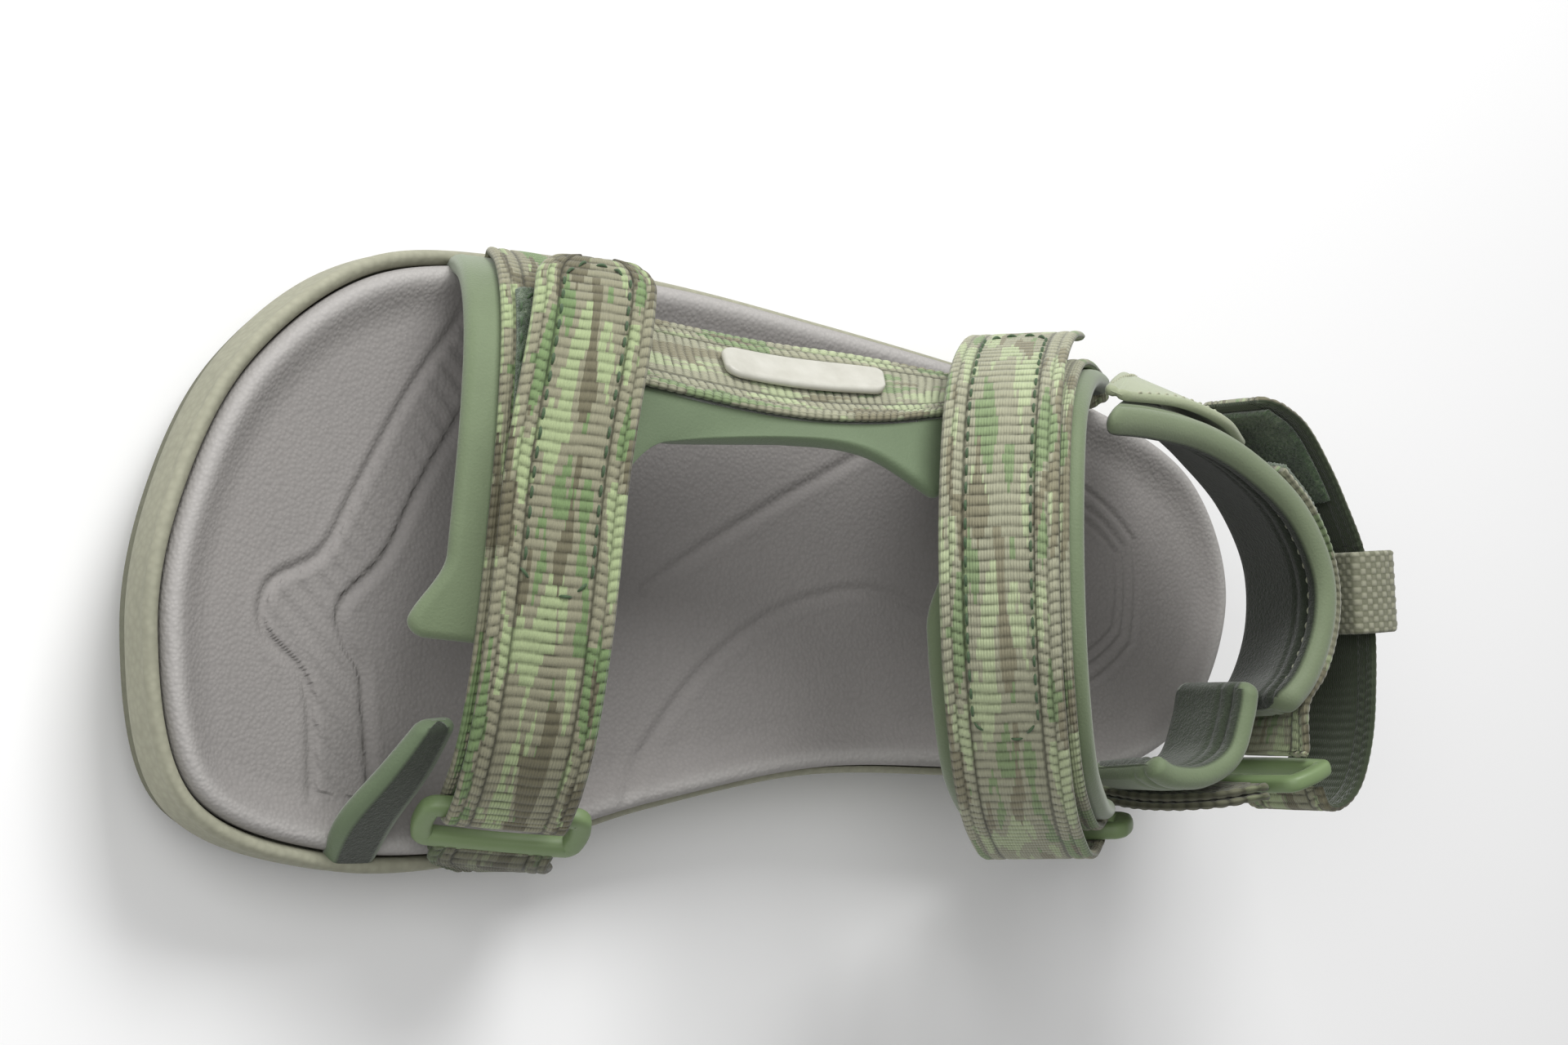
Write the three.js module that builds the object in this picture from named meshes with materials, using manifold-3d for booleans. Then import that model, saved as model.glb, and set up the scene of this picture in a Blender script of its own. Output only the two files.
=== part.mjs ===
// A child's strappy sport sandal for the right foot, as an assembly of its separate pieces.
// Millimetres. While it is laid out, X runs from the footbed's toe tip (0) to its heel, Y points
// to the outer (lateral) side and Z up from the ground. At the end the whole sandal is moved so
// that the origin is under the middle of its box, on the ground.
import * as THREE from 'three';
import { mergeVertices } from 'three/addons/utils/BufferGeometryUtils.js';
import Module from 'manifold-3d';

// ---- Driving dimensions -------------------------------------------------------------------
const FOOTBED_LENGTH = 198;        // toe tip to heel
const FOOTBED_WIDTH = 83.5;        // across the ball of the foot
const FOOTBED_THICKNESS = 5;
const TOE_SPRING = 8;              // how far the toe tip is lifted off the ground
const OUTSOLE_THICKNESS = 4;       // with its lugs
const LUG_HEIGHT = 1.8;
const RIM_TOE = 2.6;                 // how far the midsole stands out past the footbed at the toe
const RIM_SIDE = 1.2;              // and along the sides
const WEBBING_WIDTH = 17;
const WEBBING_THICKNESS = 1.4;
const PILE_THICKNESS = 1.15;       // one face of the hook-and-loop closure
const PAD_THICKNESS = 3.1;         // foam liner under a strap
const COLLAR_THICKNESS = 4.4;
const FOREFOOT_CROWN = 44.2;       // height of the forefoot strap over the ground
const INSTEP_CROWN = 63.2;         // height of the instep strap over the ground
const COLLAR_TOP = 61;
const COLLAR_BOTTOM = 39;
const RING_BAR = 2.6;              // thickness of the moulded strap rings
const RING_LEG = 3;                // width of their side legs and bars
const GAP = 0.3;                   // clearance between neighbouring pieces
const PILE_GAP = 0.2;              // clearance between the layers of a strap

const HALF_WIDTH = FOOTBED_WIDTH / 2;
const HALF_WEBBING = WEBBING_WIDTH / 2;
const HALF_LAYER = WEBBING_THICKNESS / 2;
const LAYOUT_LENGTH = 198;         // the footbed length that the stations below are written for
const LAYOUT_HALF_WIDTH = 41.75;

// Layers of a strap, as heights over the middle of its base webbing.
const LOOP_LOW = HALF_LAYER + PILE_GAP;
const HOOK_LOW = LOOP_LOW + PILE_THICKNESS + PILE_GAP;
const TAIL_LOW = HOOK_LOW + PILE_THICKNESS + PILE_GAP;
const TAIL_MIDDLE = TAIL_LOW + HALF_LAYER;
const BAR_MIDDLE = TAIL_MIDDLE / 2;
const PAD_HIGH = -HALF_LAYER - GAP;
const PAD_LOW = PAD_HIGH - PAD_THICKNESS;

const alongFoot = (x) => x * FOOTBED_LENGTH / LAYOUT_LENGTH;
const acrossFoot = (y) => y * HALF_WIDTH / LAYOUT_HALF_WIDTH;
const onFoot = (x, y, z) => new THREE.Vector3(alongFoot(x), acrossFoot(y), z);
const points = (list) => list.map(([x, y, z]) => onFoot(x, y, z));

// ---- Materials ----------------------------------------------------------------------------
const finish = (color, roughness, metalness = 0) =>
  new THREE.MeshStandardMaterial({ color, roughness, metalness });
const FINISHES = {
  eva: finish(0x8c8784, 0.8),
  rubber: finish(0xaaac94, 0.7),
  webbing: finish(0x8a8a70, 0.85),
  liner: finish(0x7f9a72, 0.65),
  pile: finish(0x4a6244, 0.95),
  plastic: finish(0x7d9a70, 0.45),
  shell: finish(0xa3b58c, 0.6),
  badge: finish(0xc4c4bc, 0.5),
  gel: finish(0x6f7c6a, 0.5),
};

// ---- Geometry helpers ---------------------------------------------------------------------

/** A closed geometry from corners and triangles, turned so that its faces point outwards. */
function closedGeometry(corners, faces) {
  const volume = faces.reduce((sum, [a, b, c]) =>
    sum + corners[a].dot(new THREE.Vector3().crossVectors(corners[b], corners[c])), 0);
  const geometry = new THREE.BufferGeometry();
  geometry.setAttribute('position',
    new THREE.Float32BufferAttribute(corners.flatMap((p) => [p.x, p.y, p.z]), 3));
  geometry.setIndex(faces.flatMap(([a, b, c]) => (volume < 0 ? [a, c, b] : [a, b, c])));
  return geometry;
}

/** A sheet with a thickness. point(u, v, lift) is its surface at u, v, moved along its normal. */
function slab(point, stepsU, stepsV, low, high) {
  const corners = [];
  for (const lift of [low, high]) {
    for (let i = 0; i <= stepsU; i++) {
      for (let j = 0; j <= stepsV; j++) corners.push(point(i / stepsU, j / stepsV, lift));
    }
  }
  const at = (i, j, k) => (k * (stepsU + 1) + i) * (stepsV + 1) + j;
  const faces = [];
  const quad = (a, b, c, d) => faces.push([a, b, c], [a, c, d]);
  for (let i = 0; i < stepsU; i++) {
    for (let j = 0; j < stepsV; j++) {
      quad(at(i, j, 1), at(i + 1, j, 1), at(i + 1, j + 1, 1), at(i, j + 1, 1));
      quad(at(i, j, 0), at(i, j + 1, 0), at(i + 1, j + 1, 0), at(i + 1, j, 0));
    }
    quad(at(i, 0, 0), at(i + 1, 0, 0), at(i + 1, 0, 1), at(i, 0, 1));
    quad(at(i, stepsV, 1), at(i + 1, stepsV, 1), at(i + 1, stepsV, 0), at(i, stepsV, 0));
  }
  for (let j = 0; j < stepsV; j++) {
    quad(at(0, j, 0), at(0, j, 1), at(0, j + 1, 1), at(0, j + 1, 0));
    quad(at(stepsU, j, 1), at(stepsU, j, 0), at(stepsU, j + 1, 0), at(stepsU, j + 1, 1));
  }
  return closedGeometry(corners, faces);
}

/** The surface through several edge curves: u runs along them, v from the first to the last. */
function skin(...edges) {
  const curves = edges.map((points) => new THREE.CatmullRomCurve3(points, false, 'catmullrom', 0.5));
  const on = (u, v) => {
    const place = THREE.MathUtils.clamp(v, 0, 1) * (curves.length - 1);
    const first = Math.min(Math.floor(place), curves.length - 2);
    const a = curves[first].getPoint(THREE.MathUtils.clamp(u, 0, 1));
    return a.lerp(curves[first + 1].getPoint(THREE.MathUtils.clamp(u, 0, 1)), place - first);
  };
  return (u, v, lift = 0) => {
    const step = 0.01;
    const du = on(Math.min(u + step, 1), v).sub(on(Math.max(u - step, 0), v));
    const dv = on(u, Math.min(v + step, 1)).sub(on(u, Math.max(v - step, 0)));
    return on(u, v).addScaledVector(du.cross(dv).normalize(), lift);
  };
}

/** A solid of manifold-3d from a closed geometry. */
const wasm = await Module();
wasm.setup();
function toSolid(geometry) {
  const bare = geometry.clone();
  bare.deleteAttribute('normal');
  bare.deleteAttribute('uv');
  const merged = mergeVertices(bare, 1e-4);
  return new wasm.Manifold(new wasm.Mesh({
    numProp: 3,
    vertProperties: new Float32Array(merged.attributes.position.array),
    triVerts: new Uint32Array(merged.index.array),
  }));
}
function fromSolid(solid) {
  const { vertProperties, triVerts } = solid.getMesh();
  const geometry = new THREE.BufferGeometry();
  geometry.setAttribute('position', new THREE.Float32BufferAttribute(vertProperties, 3));
  geometry.setIndex(Array.from(triVerts));
  return geometry;
}
const cut = (geometry, ...tools) =>
  fromSolid(tools.reduce((solid, tool) => solid.subtract(toSolid(tool)), toSolid(geometry)));
const join = (...geometries) =>
  fromSolid(geometries.slice(1).reduce((solid, g) => solid.add(toSolid(g)), toSolid(geometries[0])));

// ---- The sandal as a scene ----------------------------------------------------------------
const sandal = new THREE.Group();
function add(name, geometry, material) {
  geometry.computeVertexNormals();
  const mesh = new THREE.Mesh(geometry, material);
  mesh.name = name;
  sandal.add(mesh);
  return mesh;
}

// ---- Sole: outline and height along the foot ------------------------------------------------
// The footbed's edge, counter-clockwise from the toe: the inner side, the heel, the outer side.
const OUTLINE = new THREE.CatmullRomCurve3([
  [3.5, -13.5], [9.5, -34.5], [31, -42.2], [58, -41.7], [86, -35], [114, -29.5], [142, -29],
  [170, -29.3], [189.7, -19.7], [197.8, 0.5], [189.5, 19.3], [169.5, 29], [142.5, 33.6],
  [115, 37.7], [86.5, 41.2], [62.5, 41.3], [36, 37.5], [17, 23.7], [6.8, 5.6],
].map(([x, y]) => onFoot(x, y, 0)), true, 'catmullrom', 0.5);
// Height of the footbed's upper edge over the ground, at stations along the foot.
const EDGE_HEIGHTS = [[0, 20.1], [21, 17.4], [49, 16], [83, 16.7], [111, 19.5], [139, 22.2],
  [167, 24.3], [198, 25]];

const smooth = (from, to, x) => THREE.MathUtils.smoothstep(x, from, to);
const mix = THREE.MathUtils.lerp;

/** Height of the footbed's edge at x, by straight lines between the stations. */
function edgeHeight(x) {
  const at = THREE.MathUtils.clamp(x * LAYOUT_LENGTH / FOOTBED_LENGTH, 0, LAYOUT_LENGTH);
  const next = Math.max(1, EDGE_HEIGHTS.findIndex(([station]) => station >= at));
  const [x0, z0] = EDGE_HEIGHTS[next - 1];
  const [x1, z1] = EDGE_HEIGHTS[next];
  return mix(z0, z1, (at - x0) / (x1 - x0));
}
/** Height of the tread: the toe is sprung off the ground and the heel's back edge is eased. */
function groundHeight(x) {
  const toe = THREE.MathUtils.clamp((alongFoot(48) - x) / alongFoot(52), 0, 1);
  const heel = THREE.MathUtils.clamp((x - alongFoot(184)) / alongFoot(18), 0, 1);
  return TOE_SPRING * toe ** 2 + 2 * heel ** 2;
}
const rimWidth = (x) => mix(RIM_TOE, RIM_SIDE, smooth(alongFoot(30), alongFoot(95), x));

// The outline as two halves with points facing each other, so that flat strips can close it.
const HALF_POINTS = 44;
const outlinePoints = (() => {
  const dense = OUTLINE.getPoints(1900).slice(0, -1);
  const indexOf = (better) => dense.reduce((best, p, i) => (better(p, dense[best]) ? i : best), 0);
  const toe = indexOf((p, q) => p.x < q.x);
  const heel = indexOf((p, q) => p.x > q.x);
  const half = (from, to) => {
    const count = (to - from + dense.length) % dense.length;
    const run = Array.from({ length: count + 1 }, (_, i) => dense[(from + i) % dense.length]);
    const lengths = run.reduce((sums, p, i) =>
      [...sums, i ? sums[i - 1] + p.distanceTo(run[i - 1]) : 0], []);
    return Array.from({ length: HALF_POINTS }, (_, k) => {
      const target = lengths[count] * k / HALF_POINTS;
      return run[lengths.findIndex((length) => length >= target)].clone();
    });
  };
  return [...half(toe, heel), ...half(heel, toe)];
})();
const outlineNormals = outlinePoints.map((_, i, all) => {
  const ahead = all[(i + 1) % all.length];
  const behind = all[(i + all.length - 1) % all.length];
  return new THREE.Vector3(ahead.y - behind.y, behind.x - ahead.x, 0).normalize();
});

/** One ring of a sole layer: the outline grown by offset(x), at the height height(x). */
const soleRing = (offset, height) => outlinePoints.map((p, i) => {
  const q = p.clone().addScaledVector(outlineNormals[i], offset(p.x));
  return q.setZ(height(q.x));
});

/** A sole layer: rings from its underside outwards, up and back in, closed by cross strips. */
function soleLayer(...rings) {
  const count = 2 * HALF_POINTS;
  const faces = [];
  rings.slice(1).forEach((_, k) => {
    for (let j = 0; j < count; j++) {
      const next = (j + 1) % count;
      const [a, b, c, d] = [k * count + j, k * count + next, (k + 1) * count + next,
        (k + 1) * count + j];
      faces.push([a, b, c], [a, c, d]);
    }
  });
  const top = (rings.length - 1) * count;
  for (let j = 0; j < HALF_POINTS; j++) {
    const [a, b] = [j, j + 1];
    const [c, d] = [count - j - 1, (count - j) % count];
    if (b !== c) {
      faces.push([top + a, top + b, top + c], [a, c, b]);
    }
    if (a !== d) {
      faces.push([top + a, top + c, top + d], [a, d, c]);
    }
  }
  return closedGeometry(rings.flat(), faces);
}
const constant = (value) => () => value;
const over = (height, rise) => (x) => height(x) + rise;
const wider = (width, growth) => (x) => width(x) + growth;

const rimHeight = (x) =>
  edgeHeight(x) - mix(0.8, 3.5, smooth(alongFoot(25), alongFoot(75), x));
const floorHeight = over(edgeHeight, -FOOTBED_THICKNESS - GAP);

const footbedSolid = soleLayer(
  soleRing(constant(-1.6), over(edgeHeight, -FOOTBED_THICKNESS)),
  soleRing(constant(-0.2), over(edgeHeight, -FOOTBED_THICKNESS + 1)),
  soleRing(constant(0), over(edgeHeight, -1.4)),
  soleRing(constant(-1.3), edgeHeight),
  soleRing(constant(-6), over(edgeHeight, -1.7)),
);
const midsoleSolid = soleLayer(
  soleRing(wider(rimWidth, -2.4), over(groundHeight, OUTSOLE_THICKNESS + GAP)),
  soleRing(wider(rimWidth, -0.3), over(groundHeight, OUTSOLE_THICKNESS + GAP + 1.5)),
  soleRing(rimWidth, over(rimHeight, -1.2)),
  soleRing(wider(rimWidth, -0.6), rimHeight),
  soleRing(constant(GAP), over(rimHeight, -0.1)),
  soleRing(constant(GAP), floorHeight),
);

// The space that the sole fills, with a clearance: liners that meet the sole are trimmed with it.
const soleEnvelope = [
  soleLayer(soleRing(constant(GAP), over(floorHeight, -1)),
    soleRing(constant(GAP), over(edgeHeight, -1.3)),
    soleRing(constant(-1.1), over(edgeHeight, GAP)),
    soleRing(constant(-5.8), over(edgeHeight, GAP - 1.7))),
  soleLayer(soleRing(wider(rimWidth, GAP), over(groundHeight, 1)),
    soleRing(wider(rimWidth, GAP), over(rimHeight, GAP))),
];

/** The tread: a plate with rows of chevron lugs, lifted with the sprung toe. */
function outsole() {
  const plate = soleLayer(
    soleRing(wider(rimWidth, -3.2), over(groundHeight, LUG_HEIGHT)),
    soleRing(wider(rimWidth, -1.2), over(groundHeight, LUG_HEIGHT + 0.8)),
    soleRing(wider(rimWidth, -1.2), over(groundHeight, OUTSOLE_THICKNESS)),
  );
  const lugs = [];
  for (let station = 14; station < 182; station += 13.5) {
    const x = alongFoot(station);
    const reach = station < 30 ? 15 : 22 - station / 30;
    const middle = -9 * (1 - smooth(14, 60, station));
    for (const side of [-1, 0, 1]) lugs.push(chevron(x, acrossFoot(middle + side * reach)));
  }
  return join(plate, ...lugs);
}
/** One arrow-shaped lug pointing at the toe. */
function chevron(x, y) {
  const [wing, depth, arm] = [6.5, 4, 4.5];
  const shape = new THREE.Shape([[0, 0], [depth, -wing], [depth + arm, -wing], [arm, 0],
    [depth + arm, wing], [depth, wing]].map(([u, v]) => new THREE.Vector2(u, v)));
  const lug = new THREE.ExtrudeGeometry(shape, { depth: LUG_HEIGHT + 0.5, bevelEnabled: false });
  return lug.translate(x - depth, y, groundHeight(x + depth));
}

// A hexagonal cushion that sits in a pocket of the midsole, under the heel mark of the footbed.
const SHOCK_PAD = { x: 165, radius: 13, thickness: 3 };
/** The cushion, or with a growth the tool for its pocket, which is open at the top. */
function shockPad(growth = 0) {
  const { x, radius, thickness } = SHOCK_PAD;
  const height = growth ? 2 * thickness : thickness;
  const puck = new THREE.CylinderGeometry(radius + growth, radius + growth, height, 6);
  const top = floorHeight(alongFoot(x) - radius) - GAP;
  return puck.rotateX(Math.PI / 2)
    .translate(alongFoot(x), 0, top - thickness - growth + height / 2);
}

// ---- Strap arches ---------------------------------------------------------------------------
// A strap arch lies on a curved wall that leans towards the toe. Its profile is drawn across the
// foot, and the wall is that profile carried along the strap's width.

/** at(s, w, lift): s from the inner to the outer end, w across the strap, lift off its middle. */
function archWall({ x, ground, lean, skew, crown, profile }) {
  const [sinLean, cosLean] = [Math.sin(lean), Math.cos(lean)];
  const [sinSkew, cosSkew] = [Math.sin(skew), Math.cos(skew)];
  const across = new THREE.Vector3(sinSkew, cosSkew, 0);
  const up = new THREE.Vector3(-sinLean * cosSkew, sinLean * sinSkew, cosLean);
  const width = new THREE.Vector3(cosLean * cosSkew, -cosLean * sinSkew, sinLean);
  const curve = new THREE.SplineCurve(profile.map(([y, share]) =>
    new THREE.Vector2(acrossFoot(y), share * (crown - ground) / cosLean)));
  const origin = new THREE.Vector3(alongFoot(x), 0, ground);
  const place = (y, h, w) => origin.clone().addScaledVector(across, y).addScaledVector(up, h)
    .addScaledVector(width, w);
  const at = (s, w, lift) => {
    const p = curve.getPointAt(s);
    const t = curve.getTangentAt(s);
    return place(p.x - t.y * lift, p.y + t.x * lift, w);
  };
  return { at, width, length: curve.getLength() };
}

const forefoot = archWall({
  x: 61.2, ground: 14, lean: 0.394, skew: 0.08, crown: FOREFOOT_CROWN,
  profile: [[-35.2, 0.53], [-31, 0.72], [-24.5, 0.87], [-13, 0.975], [0, 1], [14, 0.975],
    [27, 0.86], [36, 0.64], [41, 0.33], [43, -0.06]],
});
const instep = archWall({
  x: 162.8, ground: 20, lean: 0.873, skew: -0.06, crown: INSTEP_CROWN,
  profile: [[-35.6, 0.3], [-36.4, 0.42], [-34.6, 0.6], [-27.5, 0.83], [-14, 0.965], [0, 1], [13, 0.965],
    [25.5, 0.85], [32.5, 0.62], [34.4, 0.34], [33.4, 0.0]],
});

/** A strip on an arch wall, from s0 to s1, whose edges are functions of s. */
function strip(arch, [s0, s1], left, right, low, high, steps = 30) {
  return slab((u, v, lift) => {
    const s = mix(s0, s1, u);
    return arch.at(s, mix(left(s), right(s), v), lift);
  }, steps, 1, low, high);
}
const edges = (middle, half) => [(s) => middle(s) - half, (s) => middle(s) + half];

/** A moulded rectangular ring: a rounded frame with a bevel, its window WEBBING_WIDTH wide. */
const RING_WINDOW = { across: WEBBING_WIDTH + 1.8, along: 5.2 };
function ringFrame() {
  const rounded = (target, halfX, halfY, r) => {
    target.moveTo(-halfX + r, -halfY);
    target.lineTo(halfX - r, -halfY);
    target.absarc(halfX - r, -halfY + r, r, -Math.PI / 2, 0);
    target.lineTo(halfX, halfY - r);
    target.absarc(halfX - r, halfY - r, r, 0, Math.PI / 2);
    target.lineTo(-halfX + r, halfY);
    target.absarc(-halfX + r, halfY - r, r, Math.PI / 2, Math.PI);
    target.lineTo(-halfX, -halfY + r);
    target.absarc(-halfX + r, -halfY + r, r, Math.PI, 1.5 * Math.PI);
    return target;
  };
  const { across, along } = RING_WINDOW;
  const bevel = 0.5;
  const shape = rounded(new THREE.Shape(), across / 2 + RING_LEG - bevel,
    along / 2 + RING_LEG - bevel, 3);
  shape.holes.push(rounded(new THREE.Path(), across / 2 + bevel, along / 2 + bevel, 1));
  const frame = new THREE.ExtrudeGeometry(shape, { depth: RING_BAR - 2 * bevel, curveSegments: 4,
    bevelThickness: bevel, bevelSize: bevel, bevelSegments: 1 });
  return frame.translate(0, 0, -RING_BAR / 2 + bevel);
}
/** Places a ring with its strap bar at `bar`, its bars along `width` and its anchor down `hang`. */
function placedRing(bar, width, hang) {
  const x = width.clone().normalize();
  const y = hang.clone().addScaledVector(x, -hang.dot(x)).normalize();
  const pitch = RING_WINDOW.along / 2 + RING_LEG / 2;
  const centre = bar.clone().addScaledVector(y, pitch);
  const turn = new THREE.Matrix4().makeBasis(x, y, x.clone().cross(y)).setPosition(centre);
  return {
    geometry: ringFrame().applyMatrix4(turn),
    anchorBar: centre.clone().addScaledVector(y, pitch),
    hang: y,
  };
}
/** Anchor webbing, doubled: it leaves the sole along `slot` and ends just short of a ring's bar. */
function anchor(route, widths, growth = 0) {
  const [foot, ...rest] = route;
  const lower = foot.clone().setZ(foot.z - 2 * growth);
  const curve = new THREE.CatmullRomCurve3([lower, ...rest], false, 'catmullrom', 0.5);
  const half = HALF_WEBBING + growth;
  const edge = (side) => Array.from({ length: 7 }, (_, i) =>
    curve.getPoint(i / 6).addScaledVector(widths[0].clone().lerp(widths[1], i / 6).normalize(),
      side * half));
  return slab(skin(edge(-1), edge(1)), 10, 1, -WEBBING_THICKNESS - growth,
    WEBBING_THICKNESS + growth);
}
const X = new THREE.Vector3(1, 0, 0);
const Z = new THREE.Vector3(0, 0, 1);

/** The direction that an arch runs in, down towards the sole, at its inner end. */
const downAt = (arch, s) => arch.at(s, 0, 0).sub(arch.at(s + 0.01, 0, 0)).normalize();

// A tail starts this far beyond its ring's bar, so that it can swing around the bar.
const TAIL_START = 1.2;

// ---- Forefoot strap ---------------------------------------------------------------------------
const FOREFOOT_MIDDLE = -1.2;      // how far the strap lies off the middle of its wall
const FOREFOOT_DRIFT = 0.7;        // how far tail and base webbing lie off that each way
const forefootBase = edges(constant(FOREFOOT_MIDDLE - FOREFOOT_DRIFT), HALF_WEBBING);
const forefootTail = edges((s) => FOREFOOT_MIDDLE + FOREFOOT_DRIFT - 0.8
  + 4.4 * smooth(0.42, 0.85, s), HALF_WEBBING);
const forefootBar = forefoot.at(0, FOREFOOT_MIDDLE, BAR_MIDDLE);
const forefootRing = placedRing(forefootBar, forefoot.width, downAt(forefoot, 0));
const forefootStrap = (growth) => strip(forefoot, [0, 1], wider(forefootBase[0], -growth),
  wider(forefootBase[1], growth), -HALF_LAYER - growth, HALF_LAYER + growth);

add('forefoot_strap', forefootStrap(0), FINISHES.webbing);
add('forefoot_loop_patch', strip(forefoot, [0.2, 0.72], wider(forefootBase[0], 2),
  wider(forefootBase[1], -2), LOOP_LOW, LOOP_LOW + PILE_THICKNESS, 18), FINISHES.pile);
add('forefoot_hook_patch', strip(forefoot, [0.32, 0.75], wider(forefootTail[0], 2),
  wider(forefootTail[1], -2), HOOK_LOW, HOOK_LOW + PILE_THICKNESS, 18), FINISHES.pile);
add('forefoot_tail', strip(forefoot, [TAIL_START / forefoot.length, 0.765], ...forefootTail,
  TAIL_LOW, TAIL_LOW + WEBBING_THICKNESS), FINISHES.webbing);
add('forefoot_ring', forefootRing.geometry, FINISHES.plastic);

const padInset = (s) => -15 - 4.5 * (1 - smooth(0.245, 0.35, s));
add('forefoot_lateral_pad', cut(strip(forefoot, [0.235, 0.97], padInset, constant(5.8), PAD_LOW,
  PAD_HIGH, 22), ...soleEnvelope), FINISHES.liner);
const medialPadFront = [[35, -24.5, 31.5], [32, -31, 27], [29.5, -38, 20.5], [31, -43.6, 14]];
const medialPadBack = [[40, -24, 33], [39.5, -30.6, 27.6], [38.8, -37.4, 20], [39, -43.4, 13.5]];
add('forefoot_medial_pad', cut(slab(skin(points(medialPadFront), points(medialPadBack)), 10, 2,
  -PAD_THICKNESS / 2, PAD_THICKNESS / 2), forefootStrap(GAP), ...soleEnvelope), FINISHES.liner);

/** The last stretch of an anchor's route: straight up to its ring's bar. */
const upTo = ({ anchorBar, hang }, away) =>
  [away, 0].map((more) => anchorBar.clone().addScaledVector(hang, RING_LEG / 2 + 2.4 * GAP + more));
const forefootRoute = [onFoot(61, -43.9, 11.5), onFoot(60, -44, 15), ...upTo(forefootRing, 3)];
const forefootAnchor = (growth) => anchor(forefootRoute, [X, forefoot.width], growth);
add('forefoot_ring_anchor', forefootAnchor(0), FINISHES.webbing);

// ---- Instep strap -----------------------------------------------------------------------------
const INSTEP_DRIFT = 0.5;
const instepBase = edges(constant(INSTEP_DRIFT), HALF_WEBBING);
const instepTail = edges(constant(-INSTEP_DRIFT), HALF_WEBBING);
const instepBar = instep.at(0, 0, BAR_MIDDLE);
const instepRing = placedRing(instepBar, instep.width, downAt(instep, 0));
const instepStrap = (growth) => strip(instep, [0, 1], wider(instepBase[0], -growth),
  wider(instepBase[1], growth), -HALF_LAYER - growth, HALF_LAYER + growth);

add('instep_strap', instepStrap(0), FINISHES.webbing);
add('instep_loop_patch', strip(instep, [0.2, 0.62], wider(instepBase[0], 2),
  wider(instepBase[1], -2), LOOP_LOW, LOOP_LOW + PILE_THICKNESS, 18), FINISHES.pile);
add('instep_hook_patch', strip(instep, [0.32, 0.74], wider(instepTail[0], 2),
  wider(instepTail[1], -2), HOOK_LOW, HOOK_LOW + PILE_THICKNESS, 18), FINISHES.pile);
add('instep_tail', strip(instep, [TAIL_START / instep.length, 0.84], ...instepTail,
  TAIL_LOW, TAIL_LOW + WEBBING_THICKNESS), FINISHES.webbing);
add('instep_ring', instepRing.geometry, FINISHES.plastic);
const instepPad = (growth) => strip(instep, [0.03, 0.9],
  (s) => mix(-12, -8, smooth(0.4, 0.49, s)) - growth, constant(10.8 + growth),
  PAD_LOW - growth, PAD_HIGH + growth);
add('instep_pad', instepPad(0), FINISHES.liner);

// It runs straight down from the ring in the strap's own plane, and is sewn at its lower end onto
// the outside of the heel ring's anchor.
const instepRoute = [onFoot(163, -35.4, 21), onFoot(160.6, -35.9, 23.2), ...upTo(instepRing, 1)];
add('instep_ring_anchor', anchor(instepRoute, [instep.width, instep.width]), FINISHES.webbing);

// ---- Side strap between the two, with its liner and badge ----------------------------------------
// It starts beside the forefoot strap's back edge and ends beside the instep strap's front edge.
const fromForefoot = (s, lift) => forefoot.at(s, forefootBase[1](s) + 0.5, lift);
const toInstep = (s, lift) => instep.at(s, instepBase[0](s) - 0.6, lift);
const sideLow = [fromForefoot(0.8, -4.5), ...points([[88, 32, 33], [106, 31.2, 35.5]]),
  toInstep(0.75, -1.5)];
const sideHigh = [fromForefoot(0.62, -2.5), ...points([[84, 20.2, 45], [99, 20.3, 47.8]]),
  toInstep(0.635, -1.5)];
const sideInner = [fromForefoot(0.46, -0.8), ...points([[66, 14.5, 44], [84, 17.2, 46.2],
  [97, 16.5, 49.5]]), toInstep(0.53, -1.2)];
const sideWall = skin(sideHigh, sideLow);      // its normal points away from the foot
add('side_strap', slab(sideWall, 18, 1, -HALF_LAYER, HALF_LAYER), FINISHES.webbing);
add('side_badge', slab((u, v, lift) => sideWall(mix(0.22, 0.72, u), mix(0.3, 0.68, v), lift),
  8, 1, LOOP_LOW, LOOP_LOW + 1.2), FINISHES.badge);
add('side_pad', cut(slab(skin(sideInner, sideHigh, sideLow), 18, 2, PAD_LOW + 0.6, PAD_HIGH),
  forefootStrap(GAP), instepStrap(GAP), instepPad(GAP)), FINISHES.liner);

// ---- Heel: collar, quarter, strap and keeper ----------------------------------------------------
const collarTop = [[132, 22], [142, 22.2], [154, 21.2], [165, 17.6], [175, 11.5], [181, 3],
  [181.5, -5], [178, -13], [172.5, -18.5]].map(([x, y]) => onFoot(x, y, COLLAR_TOP));
const collarBottom = [[152, 28.2], [157, 27.6], [163, 25.8], [171, 22.2], [180, 15.2],
  [186.5, 5.5], [187.5, -5], [184, -14.5], [178, -19.6]].map(([x, y], i) =>
  onFoot(x, y, COLLAR_BOTTOM + 7 * (1 - smooth(0, 3, i))));
const collarWall = skin(collarTop, collarBottom);
const collar = (growth) =>
  slab(collarWall, 30, 1, -COLLAR_THICKNESS / 2 - growth, COLLAR_THICKNESS / 2 + growth);
add('heel_collar', collar(0), FINISHES.liner);

// A light shell panel outside the collar, from the instep strap's back edge to the sole's edge.
const QUARTER_THICKNESS = 1.6;
const quarterLow = [[136, 27.6, 57], [147, 31, 48], [158, 33, 38.5], [168.5, 32, 30]];
const quarterHigh = [[139, 26.4, 59], [152, 26.6, 58], [163, 24.8, 56.5], [173, 22.4, 51]];
add('lateral_quarter', slab(skin(points(quarterLow), points(quarterHigh)), 14, 3,
  -QUARTER_THICKNESS / 2, QUARTER_THICKNESS / 2), FINISHES.shell);

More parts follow.
